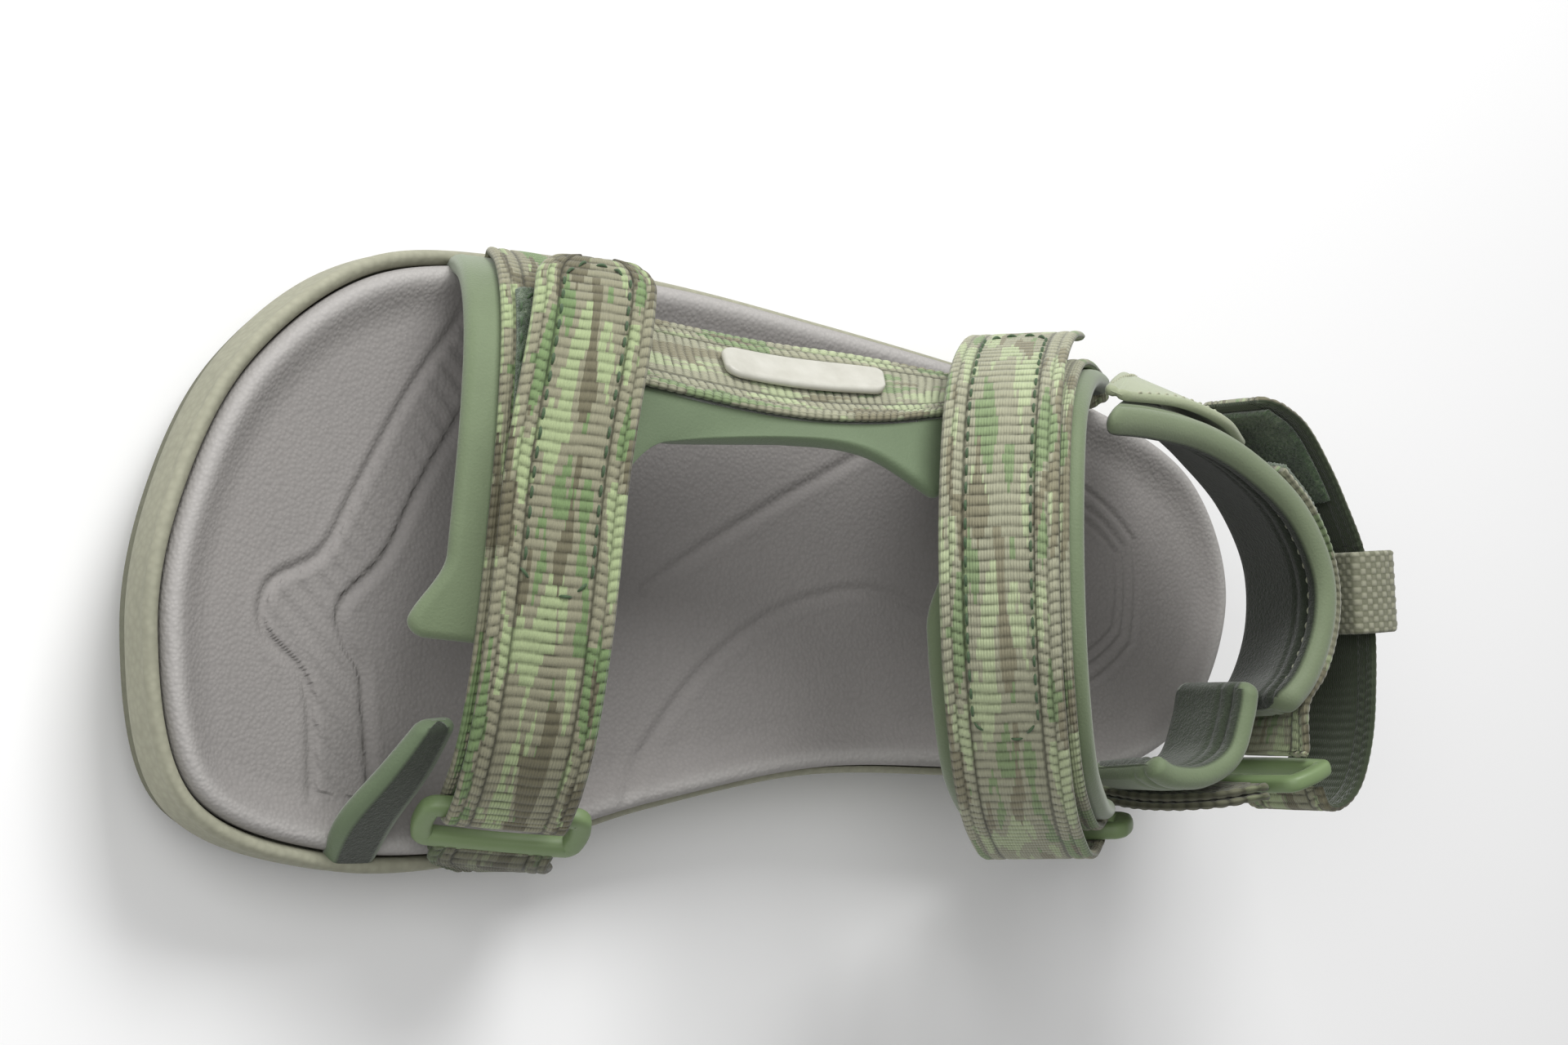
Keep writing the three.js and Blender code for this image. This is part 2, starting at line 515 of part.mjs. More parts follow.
// The heel strap lies on the back of the collar and runs on to the heel ring.
const HEEL_STRAP_HEIGHT = 49.5;
const OUTSIDE = COLLAR_THICKNESS / 2 + GAP;
const heelRingBar = onFoot(182.4, -27.6, HEEL_STRAP_HEIGHT);
const heelRing = placedRing(heelRingBar, Z, new THREE.Vector3(-0.94, -0.34, 0));
/** An upright band of webbing along a route; its normal points to the right of the route. */
const uprightBand = (route) => skin(...[-1, 1].map((side) =>
  route.map((p) => p.clone().setZ(HEEL_STRAP_HEIGHT + side * HALF_WEBBING))));
const collarStations = [0.44, 0.52, 0.6, 0.68, 0.76, 0.84, 0.92];
const ringRoute = [[180.8, -24.6], [180.4, -25.8]];
const heelStrapWall = skin(...[1, -1].map((side) => [
  ...collarStations.map((u) => collarWall(u, 0.5 - side * 0.385, OUTSIDE + GAP + HALF_LAYER)),
  ...ringRoute.map(([x, y]) => onFoot(x, y, HEEL_STRAP_HEIGHT + side * HALF_WEBBING)),
]));
add('heel_strap', slab(heelStrapWall, 32, 1, -HALF_LAYER, HALF_LAYER), FINISHES.webbing);
add('heel_ring', heelRing.geometry, FINISHES.plastic);

// Beyond the ring the strap folds back in a slack loop, passes through a keeper sewn to the back
// of the heel strap, and ends in a free tail.
const onHeel = (list) => list.map(([x, y]) => onFoot(x, y, HEEL_STRAP_HEIGHT));
const returnRoute = onHeel([[184, -30.6], [186, -33.6], [189.8, -33.2], [193.5, -29.5],
  [195.8, -22], [196.3, -13], [196, -6], [195.2, 0], [193.2, 6.6]]);
const tailRoute = onHeel([[192.9, 7.4], [189.2, 13.5], [184.8, 19.8], [179, 26], [171.5, 29.3]]);
add('heel_return', slab(uprightBand(returnRoute), 32, 1, -HALF_LAYER, HALF_LAYER),
  FINISHES.webbing);
const tailWall = uprightBand(tailRoute);
add('heel_tail', slab(tailWall, 20, 1, -HALF_LAYER, HALF_LAYER), FINISHES.webbing);

/** A pile patch on one face of a band, between stretches u0..u1 and v0..v1 of it. */
const patch = (wall, [u0, u1], low) =>
  slab((u, v, lift) => wall(mix(u0, u1, u), mix(0.1, 0.9, v), lift), 10, 1, low,
    low + PILE_THICKNESS);
add('heel_hook_patch', patch(tailWall, [0.3, 0.96], -HALF_LAYER - PILE_GAP - PILE_THICKNESS),
  FINISHES.pile);
add('heel_loop_patch', patch(heelStrapWall, [0.02, 0.3], HALF_LAYER + PILE_GAP),
  FINISHES.pile);

/** A loop of narrow webbing around the tail, sewn to the back of the heel strap. */
function keeper() {
  const [wall, width, depth, height, lean] = [1.3, 13, 8.5, WEBBING_WIDTH + 4.4, 0.15];
  const box = (target, grow) => target.moveTo(-depth / 2 - grow, -height / 2 - grow)
    .lineTo(depth / 2 + grow, -height / 2 - grow).lineTo(depth / 2 + grow, height / 2 + grow)
    .lineTo(-depth / 2 - grow, height / 2 + grow).closePath();
  const shape = new THREE.Shape();
  const hole = new THREE.Path();
  box(shape, wall / 2);
  box(hole, -wall / 2);
  shape.holes.push(hole);
  return new THREE.ExtrudeGeometry(shape, { depth: width, bevelEnabled: false })
    .rotateX(Math.PI / 2).translate(0, width / 2, 0).rotateY(-lean).rotateZ(0.1)
    .translate(alongFoot(195.5), 0.5, HEEL_STRAP_HEIGHT);
}
add('heel_keeper', keeper(), FINISHES.webbing);

// The inner side has a short padded band and the webbing that anchors the heel ring to the sole.
const rearPadTop = [[149.5, -27.6], [154, -29.4], [161, -29.2], [167, -26], [169.6, -20],
  [170.6, -14.7]].map(([x, y]) => onFoot(x, y, 56));
const rearPadBottom = [[153, -28.6], [157, -30], [163, -30], [169, -27], [172, -20.7],
  [173.2, -14.7]].map(([x, y]) => onFoot(x, y, 37.5));
const REAR_PAD_THICKNESS = 3.6;

// It rises from the sole and turns to the ring, so its front edge takes the long way round.
const heelAnchorFront = [[157.5, -30.6, 14], [157.3, -31.6, 26], [159.5, -33.6, 42],
  [165, -33.2, 52], [172.1, -31.5, 57.8]];
const heelAnchorRear = [[174.5, -28.6, 14], [174.5, -29.6, 24], [174.3, -30.8, 33],
  [173.2, -31.2, 38], [172.1, -31.5, 41.2]];
function heelAnchor(growth) {
  const sides = [heelAnchorFront, heelAnchorRear].map((side) => points(side));
  sides.forEach(([foot], i) => foot.add(new THREE.Vector3((2 * i - 1) * growth, 0, -2 * growth)));
  const half = WEBBING_THICKNESS + growth;
  return slab(skin(...sides), 14, 1, -half, half);
}
add('heel_ring_anchor', heelAnchor(0), FINISHES.webbing);
add('medial_rear_pad', cut(slab(skin(rearPadTop, rearPadBottom), 16, 1,
  -REAR_PAD_THICKNESS / 2, REAR_PAD_THICKNESS / 2), collar(1.3 * GAP), heelAnchor(GAP)),
  FINISHES.liner);

// ---- Sole pieces, with slots for the webbing that is lasted between footbed and midsole -----------
const slots = [forefootStrap, forefootAnchor, instepStrap, heelAnchor]
  .map((piece) => piece(GAP));
add('footbed', cut(footbedSolid, ...slots), FINISHES.eva);
add('heel_shock_pad', shockPad(), FINISHES.gel);
add('midsole', cut(midsoleSolid, shockPad(GAP), ...slots), FINISHES.rubber);
add('outsole', outsole(), FINISHES.rubber);

// ---- The whole sandal, moved over its origin ------------------------------------------------------
const root = new THREE.Group();
root.add(sandal);
const box = new THREE.Box3().setFromObject(sandal);
sandal.position.set(-(box.min.x + box.max.x) / 2, -(box.min.y + box.max.y) / 2, -box.min.z);
export default root;
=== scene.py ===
"""The look of a child's strappy sport sandal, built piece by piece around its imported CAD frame."""

import bmesh
import bpy
import numpy as np
from mathutils import Matrix, Vector


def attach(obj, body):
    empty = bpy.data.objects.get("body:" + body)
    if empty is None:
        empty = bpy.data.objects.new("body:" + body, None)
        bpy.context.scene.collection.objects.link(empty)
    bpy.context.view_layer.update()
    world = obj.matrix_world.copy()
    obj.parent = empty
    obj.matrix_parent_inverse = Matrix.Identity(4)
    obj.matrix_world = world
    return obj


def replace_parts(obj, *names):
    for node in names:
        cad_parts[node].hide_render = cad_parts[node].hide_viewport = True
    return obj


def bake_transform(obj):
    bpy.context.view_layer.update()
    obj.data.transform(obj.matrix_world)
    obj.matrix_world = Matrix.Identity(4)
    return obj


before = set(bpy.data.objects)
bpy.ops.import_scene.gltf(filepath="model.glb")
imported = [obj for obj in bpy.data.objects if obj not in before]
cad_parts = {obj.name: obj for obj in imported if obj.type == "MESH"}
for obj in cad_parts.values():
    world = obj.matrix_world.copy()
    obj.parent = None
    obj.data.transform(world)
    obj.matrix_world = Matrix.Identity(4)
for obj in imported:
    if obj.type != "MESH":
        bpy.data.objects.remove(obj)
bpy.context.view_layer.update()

# ---- Studio ---------------------------------------------------------------------------------
# A pale floor, a broad soft lamp on the outer side of the sandal, a weaker one over the toe, and
# a camera above the toe that looks down and back along the footbed.
LAYOUT_SHIFT = np.array([-101.739, 0.685, 0.0])   # from layout millimetres to the row's frame


def metres(points):
    """Layout millimetres (X from the toe tip, Y outwards, Z up) as metres in the row's frame."""
    return (np.asarray(points, float) + LAYOUT_SHIFT) / 1000


def lamp(name, place, target, size, power):
    """A square area lamp at place, turned to target, all in layout millimetres."""
    light = bpy.data.lights.new(name, "AREA")
    light.size, light.energy = size / 1000, power
    lit = bpy.data.objects.new(name, light)
    bpy.context.scene.collection.objects.link(lit)
    lit.location = Vector(metres(place))
    lit.rotation_mode = "QUATERNION"
    lit.rotation_quaternion = (Vector(metres(target)) - lit.location).to_track_quat("-Z", "Y")


lamp("outer_lamp", (60, 620, 520), (100, 0, 30), 420, 5.5)
lamp("toe_lamp", (-420, 120, 620), (80, 0, 30), 500, 2.5)

scene = bpy.context.scene
scene.view_settings.view_transform = "Standard"
world = bpy.data.worlds.new("studio_air")
world.use_nodes = True
world.node_tree.nodes["Background"].inputs[0].default_value = (1, 1, 1, 1)
world.node_tree.nodes["Background"].inputs[1].default_value = 0.33
scene.world = world

CAMERA_RIGHT = (0.7805, 0.0246, 0.6247)
CAMERA_UP = (-0.0657, 0.9969, 0.0428)
CAMERA_BACK = (-0.6217, -0.0744, 0.7797)
camera = bpy.data.objects.new("camera", bpy.data.cameras.new("camera"))
scene.collection.objects.link(camera)
camera.data.lens, camera.data.sensor_width = 71.25, 36
turn = Matrix((CAMERA_RIGHT, CAMERA_UP, CAMERA_BACK)).transposed().to_4x4()
camera.matrix_world = Matrix.Translation(metres((-185.8, -27.6, 385.2))) @ turn
camera.data.clip_start = 0.01
scene.camera = camera

floor_mesh = bpy.data.meshes.new("studio_floor")
floor_mesh.from_pydata([(-4, -4, -2e-4), (4, -4, -2e-4), (4, 4, -2e-4), (-4, 4, -2e-4)], [],
                       [(0, 1, 2, 3)])
floor = bpy.data.objects.new("studio_floor", floor_mesh)
scene.collection.objects.link(floor)
floor_paper = bpy.data.materials.new("studio_paper")
floor_paper.use_nodes = True
floor_paper.node_tree.nodes["Principled BSDF"].inputs["Base Color"].default_value = (0.94, 0.94, 0.94, 1)
floor_paper.node_tree.nodes["Principled BSDF"].inputs["Roughness"].default_value = 0.9
floor_mesh.materials.append(floor_paper)

# ---- Tools: colours, materials, skins -----------------------------------------------------------
# They are shared by every piece below.


def paint(red, green, blue):
    """A colour given as 0 to 255 on a screen, as the linear value that a shader takes."""
    c = np.array([red, green, blue]) / 255
    linear = np.where(c <= 0.04045, c / 12.92, ((c + 0.055) / 1.055) ** 2.4)
    return (*linear.tolist(), 1.0)


class Finish:
    """A material with one Principled shader, and short ways to add and join its nodes."""

    def __init__(self, name, roughness=0.8, sheen=0.0, specular=0.3):
        self.material = bpy.data.materials.new(name)
        self.material.use_nodes = True
        self.tree = self.material.node_tree
        self.shader = self.tree.nodes["Principled BSDF"]
        self.shader.inputs["Roughness"].default_value = roughness
        self.shader.inputs["Sheen Weight"].default_value = sheen
        self.shader.inputs["Sheen Roughness"].default_value = 0.5
        self.shader.inputs["Specular IOR Level"].default_value = specular

    def node(self, kind, settings=None, **inputs):
        """Adds a node. Inputs are named with underscores for spaces: a value, or a socket."""
        made = self.tree.nodes.new("ShaderNode" + kind)
        for key, value in (settings or {}).items():
            setattr(made, key, value)
        for key, value in inputs.items():
            name = key.replace("_", " ")
            index = int(name[1:]) if name[0] == "i" and name[1:].isdigit() else name
            socket = made.inputs[index]
            if isinstance(value, bpy.types.NodeSocket):
                self.tree.links.new(value, socket)
            else:
                socket.default_value = value
        return made

    def sum(self, how, first, second, clamp=False):
        """One Math node on two values or sockets."""
        return self.node("Math", {"operation": how, "use_clamp": clamp}, i0=first,
                         i1=second).outputs[0]

    def blend(self, share, low, high):
        """Low where share is 0, high where it is 1, as colours."""
        mixed = self.node("Mix", {"data_type": "RGBA"}, i0=share, i6=low, i7=high)
        return mixed.outputs[2]

    def steps(self, value, stops, smooth=True):
        """A colour ramp with (place, colour) stops."""
        ramp = self.node("ValToRGB", None, Fac=value)
        band = ramp.color_ramp
        band.interpolation = "LINEAR" if smooth else "CONSTANT"
        while len(band.elements) < len(stops):
            band.elements.new(0.5)
        for element, (place, colour) in zip(band.elements, stops):
            element.position, element.color = place, colour
        return ramp.outputs[0]

    def attribute(self, name):
        return self.node("Attribute", {"attribute_name": name})

    def object_place(self):
        return self.node("TexCoord").outputs["Object"]

    def noise(self, place, scale, detail=3.0, roughness=0.55):
        return self.node("TexNoise", None, Vector=place, Scale=scale, Detail=detail,
                         Roughness=roughness).outputs[0]

    def colour(self, value):
        if isinstance(value, bpy.types.NodeSocket):
            self.tree.links.new(value, self.shader.inputs["Base Color"])
        else:
            self.shader.inputs["Base Color"].default_value = value

    def roughness(self, value):
        self.tree.links.new(value, self.shader.inputs["Roughness"])

    def bump(self, height, distance, strength=1.0):
        """Joins a height in 0..1 to the shader's normal, distance in metres for 1."""
        made = self.node("Bump", None, Height=height, Distance=distance, Strength=strength)
        self.tree.links.new(made.outputs[0], self.shader.inputs["Normal"])


def outward(points, quads):
    """The faces turned so that the closed skin's volume is positive."""
    a, b, c, d = (points[quads[:, k]] for k in range(4))
    volume = np.einsum("ij,ij->", a, np.cross(b, c)) + np.einsum("ij,ij->", a, np.cross(c, d))
    return quads if volume > 0 else quads[:, ::-1]


def mesh_of(name, points, quads, finish, body="sandal", values=None, sharp=None):
    """An object of layout millimetre points and quads, riding on a body, with point attributes."""
    mesh = bpy.data.meshes.new(name)
    mesh.from_pydata(metres(points), [], quads.tolist())
    for key, array in (values or {}).items():
        flat = np.asarray(array, np.float32)
        kind, slot = ("FLOAT", "value") if flat.ndim == 1 else ("FLOAT_VECTOR", "vector")
        mesh.attributes.new(key, kind, "POINT").data.foreach_set(slot, flat.ravel())
    mesh.shade_smooth()
    if sharp:
        mesh.set_sharp_from_angle(angle=np.radians(sharp))
    mesh.materials.append(finish.material)
    made = bpy.data.objects.new(name, mesh)
    scene.collection.objects.link(made)
    if body:
        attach(made, body)
    return made


def tube_faces(rows, columns, closed=False):
    """Faces of a skin whose rows are loops. Unless it is closed on itself, facing halves of the
    first and the last loop are joined by strips."""
    last = rows if closed else rows - 1
    i, j = np.meshgrid(np.arange(last), np.arange(columns), indexing="ij")
    k, l = (j + 1) % columns, (i + 1) % rows
    quads = np.stack([i * columns + j, i * columns + k, l * columns + k, l * columns + j],
                     -1).reshape(-1, 4)
    if closed:
        return quads
    a = np.arange(columns // 2 - 1)
    strip = np.stack([a, a + 1, columns - 2 - a, columns - 1 - a], -1)
    return np.concatenate([quads, strip[:, ::-1], strip + (rows - 1) * columns])


def skin(name, loops, finish, body="sandal", values=None, closed=False, sharp=None):
    """A closed skin over an array of loops, rows by columns by 3, in layout millimetres."""
    rows, columns = loops.shape[:2]
    points = loops.reshape(-1, 3)
    quads = outward(points, tube_faces(rows, columns, closed))
    flat = {key: np.asarray(v).reshape(rows * columns, -1).squeeze() for key,
            v in (values or {}).items()}
    return mesh_of(name, points, quads, finish, body, flat, sharp)


def spline(points, t, held=False, closed=False):
    """The Catmull-Rom curve through points; t from 0 to 1 runs from the first to the last."""
    p = np.asarray(points, float)
    if closed:
        p = np.concatenate([p[-1:], p, p[:2]])
    elif held:
        p = np.concatenate([p[:1], p, p[-1:]])
    else:
        p = np.concatenate([2 * p[:1] - p[1:2], p, 2 * p[-1:] - p[-2:-1]])
    spans = len(p) - 3
    x = np.clip(t, 0, 1) * spans
    i = np.minimum(x.astype(int), spans - 1)
    f = (x - i).reshape(x.shape + (1,) * (p.ndim - 1))
    a, b, c, d = p[i], p[i + 1], p[i + 2], p[i + 3]
    return b + 0.5 * f * ((c - a) + f * ((2 * a - 5 * b + 4 * c - d) + f * (3 * b - a - 3 * c + d)))


def smooth(low, high, x):
    """0 below low, 1 above high, and an even ease between."""
    t = np.clip((x - low) / (high - low), 0, 1)
    return t * t * (3 - 2 * t)


def even(points):
    """Arc length along a run of points, from 0 to 1, and its whole length."""
    step = np.linalg.norm(np.diff(points, axis=0), axis=-1)
    run = np.concatenate([[0], np.cumsum(step)])
    return run / run[-1], run[-1]


# ---- Outsole ------------------------------------------------------------------------------------
# A thin rubber tread glued under the midsole: rows of chevron lugs, and blocks around the edge
# whose ends show past the sidewall. It follows the sprung toe.
OUTLINE = [(3.5, -13.5), (9.5, -34.5), (31, -42.2), (58, -41.7), (86, -35), (114, -29.5),
           (142, -29), (170, -29.3), (189.7, -19.7), (197.8, 0.5), (189.5, 19.3), (169.5, 29),
           (142.5, 33.6), (115, 37.7), (86.5, 41.2), (62.5, 41.3), (36, 37.5), (17, 23.7),
           (6.8, 5.6)]
HALF_RUN = 440                     # outline points on each side, from the toe to the heel
EDGE_STATIONS = (0, 21, 49, 83, 111, 139, 167, 198)
EDGE_HEIGHTS = (20.1, 17.4, 16, 16.7, 19.5, 22.2, 24.3, 25)
OUTSOLE, LUG, TOE_SPRING = 4, 1.8, 8


def outline_run():
    """The footbed's outline in even steps, down the inner side from the toe and back up the
    outer side, with its outward normals."""
    dense = spline(OUTLINE, np.linspace(0, 1, 7600, endpoint=False), closed=True)
    toe, heel = dense[:, 0].argmin(), dense[:, 0].argmax()
    halves = []
    for start, stop in ((toe, heel), (heel, toe)):
        run = dense[np.arange(start, start + (stop - start) % len(dense) + 1) % len(dense)]
        share, _ = even(run)
        at = np.arange(HALF_RUN) / HALF_RUN
        halves.append(np.stack([np.interp(at, share, run[:, k]) for k in (0, 1)], -1))
    run = np.concatenate(halves)
    ahead = np.roll(run, -1, 0) - np.roll(run, 1, 0)
    normal = np.stack([ahead[:, 1], -ahead[:, 0]], -1)
    return run, normal / np.linalg.norm(normal, axis=1, keepdims=True)


outline, outline_normal = outline_run()


def edge_height(x):
    """Height of the footbed's edge: straight runs between stations, averaged over 12 mm."""
    spread = np.linspace(-6, 6, 7)
    return np.mean([np.interp(x + s, EDGE_STATIONS, EDGE_HEIGHTS) for s in spread], axis=0)


def ground_height(x):
    """Height of the tread: a square-law spring at the toe and a slight ease at the heel."""
    return TOE_SPRING * np.clip((48 - x) / 52, 0, 1) ** 2 + 2 * np.clip((x - 184) / 18, 0, 1) ** 2


def rim_width(x):
    """How far the midsole stands out past the footbed: 2.6 mm at the toe, 1.2 along the sides."""
    return 2.6 - 1.4 * smooth(30, 95, x)


def sole_ring(offset, height):
    """The outline grown by offset(x), at the height height(x)."""
    flat = outline + outline_normal * np.broadcast_to(offset(outline[:, 0]), len(outline))[:, None]
    return np.column_stack([flat, height(flat[:, 0])])


tread_finish = Finish("tread_rubber", 0.62)
place = tread_finish.object_place()
grit = tread_finish.noise(place, 900, 4)
tread_finish.colour(tread_finish.blend(grit, paint(96, 97, 80), paint(122, 122, 103)))
tread_finish.bump(grit, 1.5e-4)

tread_rings = np.stack([sole_ring(o, h) for o, h in (
    (lambda x: rim_width(x) - 3.4, lambda x: ground_height(x) + LUG),
    (lambda x: rim_width(x) - 1.5, lambda x: ground_height(x) + LUG + 0.3),
    (lambda x: rim_width(x) - 1.1, lambda x: ground_height(x) + LUG + 1.0),
    (lambda x: rim_width(x) - 1.2, lambda x: ground_height(x) + OUTSOLE + 0.2),
)])
tread = skin("outsole_tread", tread_rings[:, ::2], tread_finish, sharp=50)
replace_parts(tread, "outsole")


def blocks(centres, directions, half_length, half_width, low, high, taper=0.75):
    """Eight-cornered blocks with a narrower foot, one for each centre, along its direction."""
    corner = np.array([(-1, -1), (1, -1), (1, 1), (-1, 1)])
    side = np.stack([-directions[:, 1], directions[:, 0]], -1)
    flat = lambda k: (centres[:, None] + directions[:, None] * corner[:, :1] * half_length * k
                      + side[:, None] * corner[:, 1:] * half_width * k)
    x = centres[:, :1].repeat(4, 1)
    foot = np.concatenate([flat(taper), (ground_height(x) + low)[..., None]], -1)
    head = np.concatenate([flat(1.0), (ground_height(x) + high)[..., None]], -1)
    points = np.concatenate([foot, head], 1)
    faces = np.array([(0, 3, 2, 1), (4, 5, 6, 7), (0, 1, 5, 4), (1, 2, 6, 5), (2, 3, 7, 6),
                      (3, 0, 4, 7)])
    quads = (faces[None] + 8 * np.arange(len(centres))[:, None, None]).reshape(-1, 4)
    return points.reshape(-1, 3), quads


stations = np.arange(14, 182, 13.5)
rows_across = np.array([-1, 0, 1])
lug_centres = np.array([(x, side * (15 if x < 30 else 22 - x / 30) - 9 * (1 - smooth(14, 60, x)))
                        for x in stations for side in rows_across])
arm = 5.2
arms = [blocks(lug_centres + (0.5 * arm, s * 0.42 * arm),
               np.tile([0.7, s * 0.72], (len(lug_centres), 1)),
               0.78 * arm, 1.7, 0.0, OUTSOLE - 1.2) for s in (-1, 1)]
every = 2 * HALF_RUN // 52
edge_at = outline[::every] + outline_normal[::every] * (rim_width(outline[::every, :1]) - 5.2)
arms.append(blocks(edge_at, outline_normal[::every], 2.6, 2.4, 0.9, OUTSOLE - 0.4, 0.8))
lug_points = np.concatenate([p for p, _ in arms])
starts = np.cumsum([0] + [len(p) for p, _ in arms])[:-1]
lug_quads = np.concatenate([q + s for (_, q), s in zip(arms, starts)])
lugs = mesh_of("outsole_lugs", lug_points, lug_quads, tread_finish, sharp=30)
bevel = lugs.modifiers.new("worn_edges", "BEVEL")
bevel.width, bevel.segments = 3.5e-4, 1

# ---- Midsole ------------------------------------------------------------------------------------
# A moulded foam cup in pale sage. Its sidewall has a fine woven grain, rolls over into a round
# rim, and drops into a narrow groove around the footbed.
GAP, FOOTBED = 0.3, 5


def rim_height(x):
    """Top of the sidewall: just under the footbed's edge at the toe, 3.5 mm under it behind."""
    return edge_height(x) - 0.8 - 2.7 * smooth(25, 75, x)


midsole_finish = Finish("sidewall_foam", 0.72)
place = midsole_finish.object_place()
grain = midsole_finish.node("TexVoronoi", {"feature": "F1"}, Vector=place, Scale=950.0)
patches = midsole_finish.noise(place, 40, 2)
bright = midsole_finish.blend(patches, paint(150, 150, 132), paint(170, 169, 149))
grained = midsole_finish.steps(grain.outputs["Distance"],
                               [(0.0, (1, 1, 1, 1)), (0.85, (0.72, 0.72, 0.72, 1))])
mottled = midsole_finish.node("Mix", {"data_type": "RGBA", "blend_type": "MULTIPLY"}, i0=0.55,
                              i6=bright,
                              i7=grained)
midsole_finish.colour(mottled.outputs[2])
midsole_finish.bump(grained, -1.6e-4)

rim_profile = [  # (out from the rim's width, or None for a fixed offset), fixed offset, height
    (-2.6, lambda x: ground_height(x) + OUTSOLE + GAP),
    (-0.9, lambda x: ground_height(x) + OUTSOLE + GAP + 0.5),
    (-0.25, lambda x: ground_height(x) + OUTSOLE + GAP + 1.7),
    (0.0, lambda x: 0.5 * (ground_height(x) + OUTSOLE + rim_height(x))),
    (-0.05, lambda x: rim_height(x) - 2.2),
    (0.05, lambda x: rim_height(x) - 1.1),
    (-0.3, lambda x: rim_height(x) - 0.25),
    (-1.0, lambda x: rim_height(x)),
]
wall = [sole_ring(lambda x, o=o: rim_width(x) + o, h) for o, h in rim_profile]
wall += [sole_ring(lambda x: 0.42 + 0.25 * (rim_width(x) - 1.2), lambda x: rim_height(x) - 0.45),
         sole_ring(lambda x: 0.28 + 0 * x, lambda x: rim_height(x) - 1.6),
         sole_ring(lambda x: 0.28 + 0 * x, lambda x: edge_height(x) - FOOTBED - GAP)]
rim_t = np.linspace(0, 1, 44)
midsole_loops = spline(np.stack(wall)[:, ::2], rim_t, held=True)
midsole = skin("midsole_cup", midsole_loops, midsole_finish)
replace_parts(midsole, "midsole")

# ---- Heel cushion -------------------------------------------------------------------------------
# A soft gel puck glued into a pocket of the midsole, under the mark in the footbed's heel.
gel_finish = Finish("gel", 0.35)
swirl = gel_finish.noise(gel_finish.object_place(), 160, 3)
gel_finish.colour(gel_finish.blend(swirl, paint(92, 108, 90), paint(122, 138, 112)))
gel_finish.bump(swirl, 1e-4)
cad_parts["heel_shock_pad"].data.materials.clear()
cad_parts["heel_shock_pad"].data.materials.append(gel_finish.material)

# ---- Footbed ------------------------------------------------------------------------------------
# One piece of grey foam with a pebbled top and a rounded edge, painted paler along that edge as a painted
# highlight. Its grooves are moulded in: a zig-zag channel at the ball, two sweeps at the waist and a nest of
# hexagons under the heel.
ZIGZAG_FRONT = [(50.7, 33.6), (42, 21.4), (34, 7.5), (28.8, -1.5), (21.6, -5.5), (19.5, -8.7),
                (20.2, -13.1), (25.6, -17.8), (27.6, -22.8), (28.4, -34.2)]
ZIGZAG_BACK = [(56.5, 28), (51.2, 19.3), (44.5, 8.3), (39.1, -1.7), (32.3, -8.6), (33, -13.4),
               (35.8, -17.4), (36.6, -22.6), (38.3, -35.6)]
WAIST_SWEEPS = [[(134, 27), (122.1, 19.4), (107.3, 11.2), (93.1, 2.7), (83.4, -3.7)],
                [(135.9, -4.9), (122.7, -2), (107.8, -5.6), (95, -14.1), (85.5, -25.3),
                 (79.5, -35.5)]]
HEXAGON_CENTRE, HEXAGON_RADII = (163.3, 0.4), (17.2, 14.4, 12.2)


def hexagon(radius, count=240):
    """A hexagon with rounded corners, longer across the heel than along it."""
    angle = np.linspace(0, 2 * np.pi, count, endpoint=False)
    sector = (angle + np.pi / 6) % (np.pi / 3) - np.pi / 6
    reach = radius * (0.42 + 0.58 * np.cos(np.pi / 6) / np.cos(sector))
    return np.stack([HEXAGON_CENTRE[0] + 0.9 * reach * np.cos(angle),
                     HEXAGON_CENTRE[1] + reach * np.sin(angle)], -1)


def distance_to(points, line):
    """How far each point lies from the nearest point of a densely drawn line."""
    gap = points[:, None].astype(np.float32) - line[None].astype(np.float32)
    return np.sqrt((gap ** 2).sum(-1).min(1))


def inside(points, ring):
    """True where a point lies inside a closed ring: an odd number of its edges are to the right."""
    x, y = points.T
    a, b = ring, np.roll(ring, -1, 0)
    odd = np.zeros(len(points), bool)
    for (x0, y0), (x1, y1) in zip(a, b):
        crosses = (y0 > y) != (y1 > y)
        odd ^= crosses & (x < (x1 - x0) * (y - y0) / (y1 - y0 + 1e-12) + x0)
    return odd


def dip(distance, width, depth):
    """A soft valley with a slight lip on each side."""
    return -depth * np.exp(-(distance / width) ** 2) + 0.16 * depth * np.exp(-((distance - 2 * width) / width) ** 2)


INSET = np.array([0, 0.35, 0.8, 1.35, 2, 2.8, 3.8, 4.9, 6.1, 7.5])
EDGE_FALL = np.array([-1.4, -0.75, -0.3, -0.05, 0, -0.18, -0.6, -1.1, -1.5, -1.7])
ACROSS = 152
inset_rings = outline[None] - outline_normal[None] * INSET[:, None, None]
inner = inset_rings[-1]
left, right = inner[:HALF_RUN + 1], np.roll(inner[::-1], 1, 0)[:HALF_RUN + 1]
share = np.linspace(0, 1, ACROSS)[None, :, None]
middle_grid = left[:, None] * (1 - share) + right[:, None] * share

under = [sole_ring(lambda x, o=o: o + 0 * x, lambda x, h=h: edge_height(x) + h)
         for o, h in ((-9, -FOOTBED), (-1.6, -FOOTBED), (-0.5, -FOOTBED + 0.4),
                      (-0.1, -FOOTBED + 1.2), (0, -2.2))]


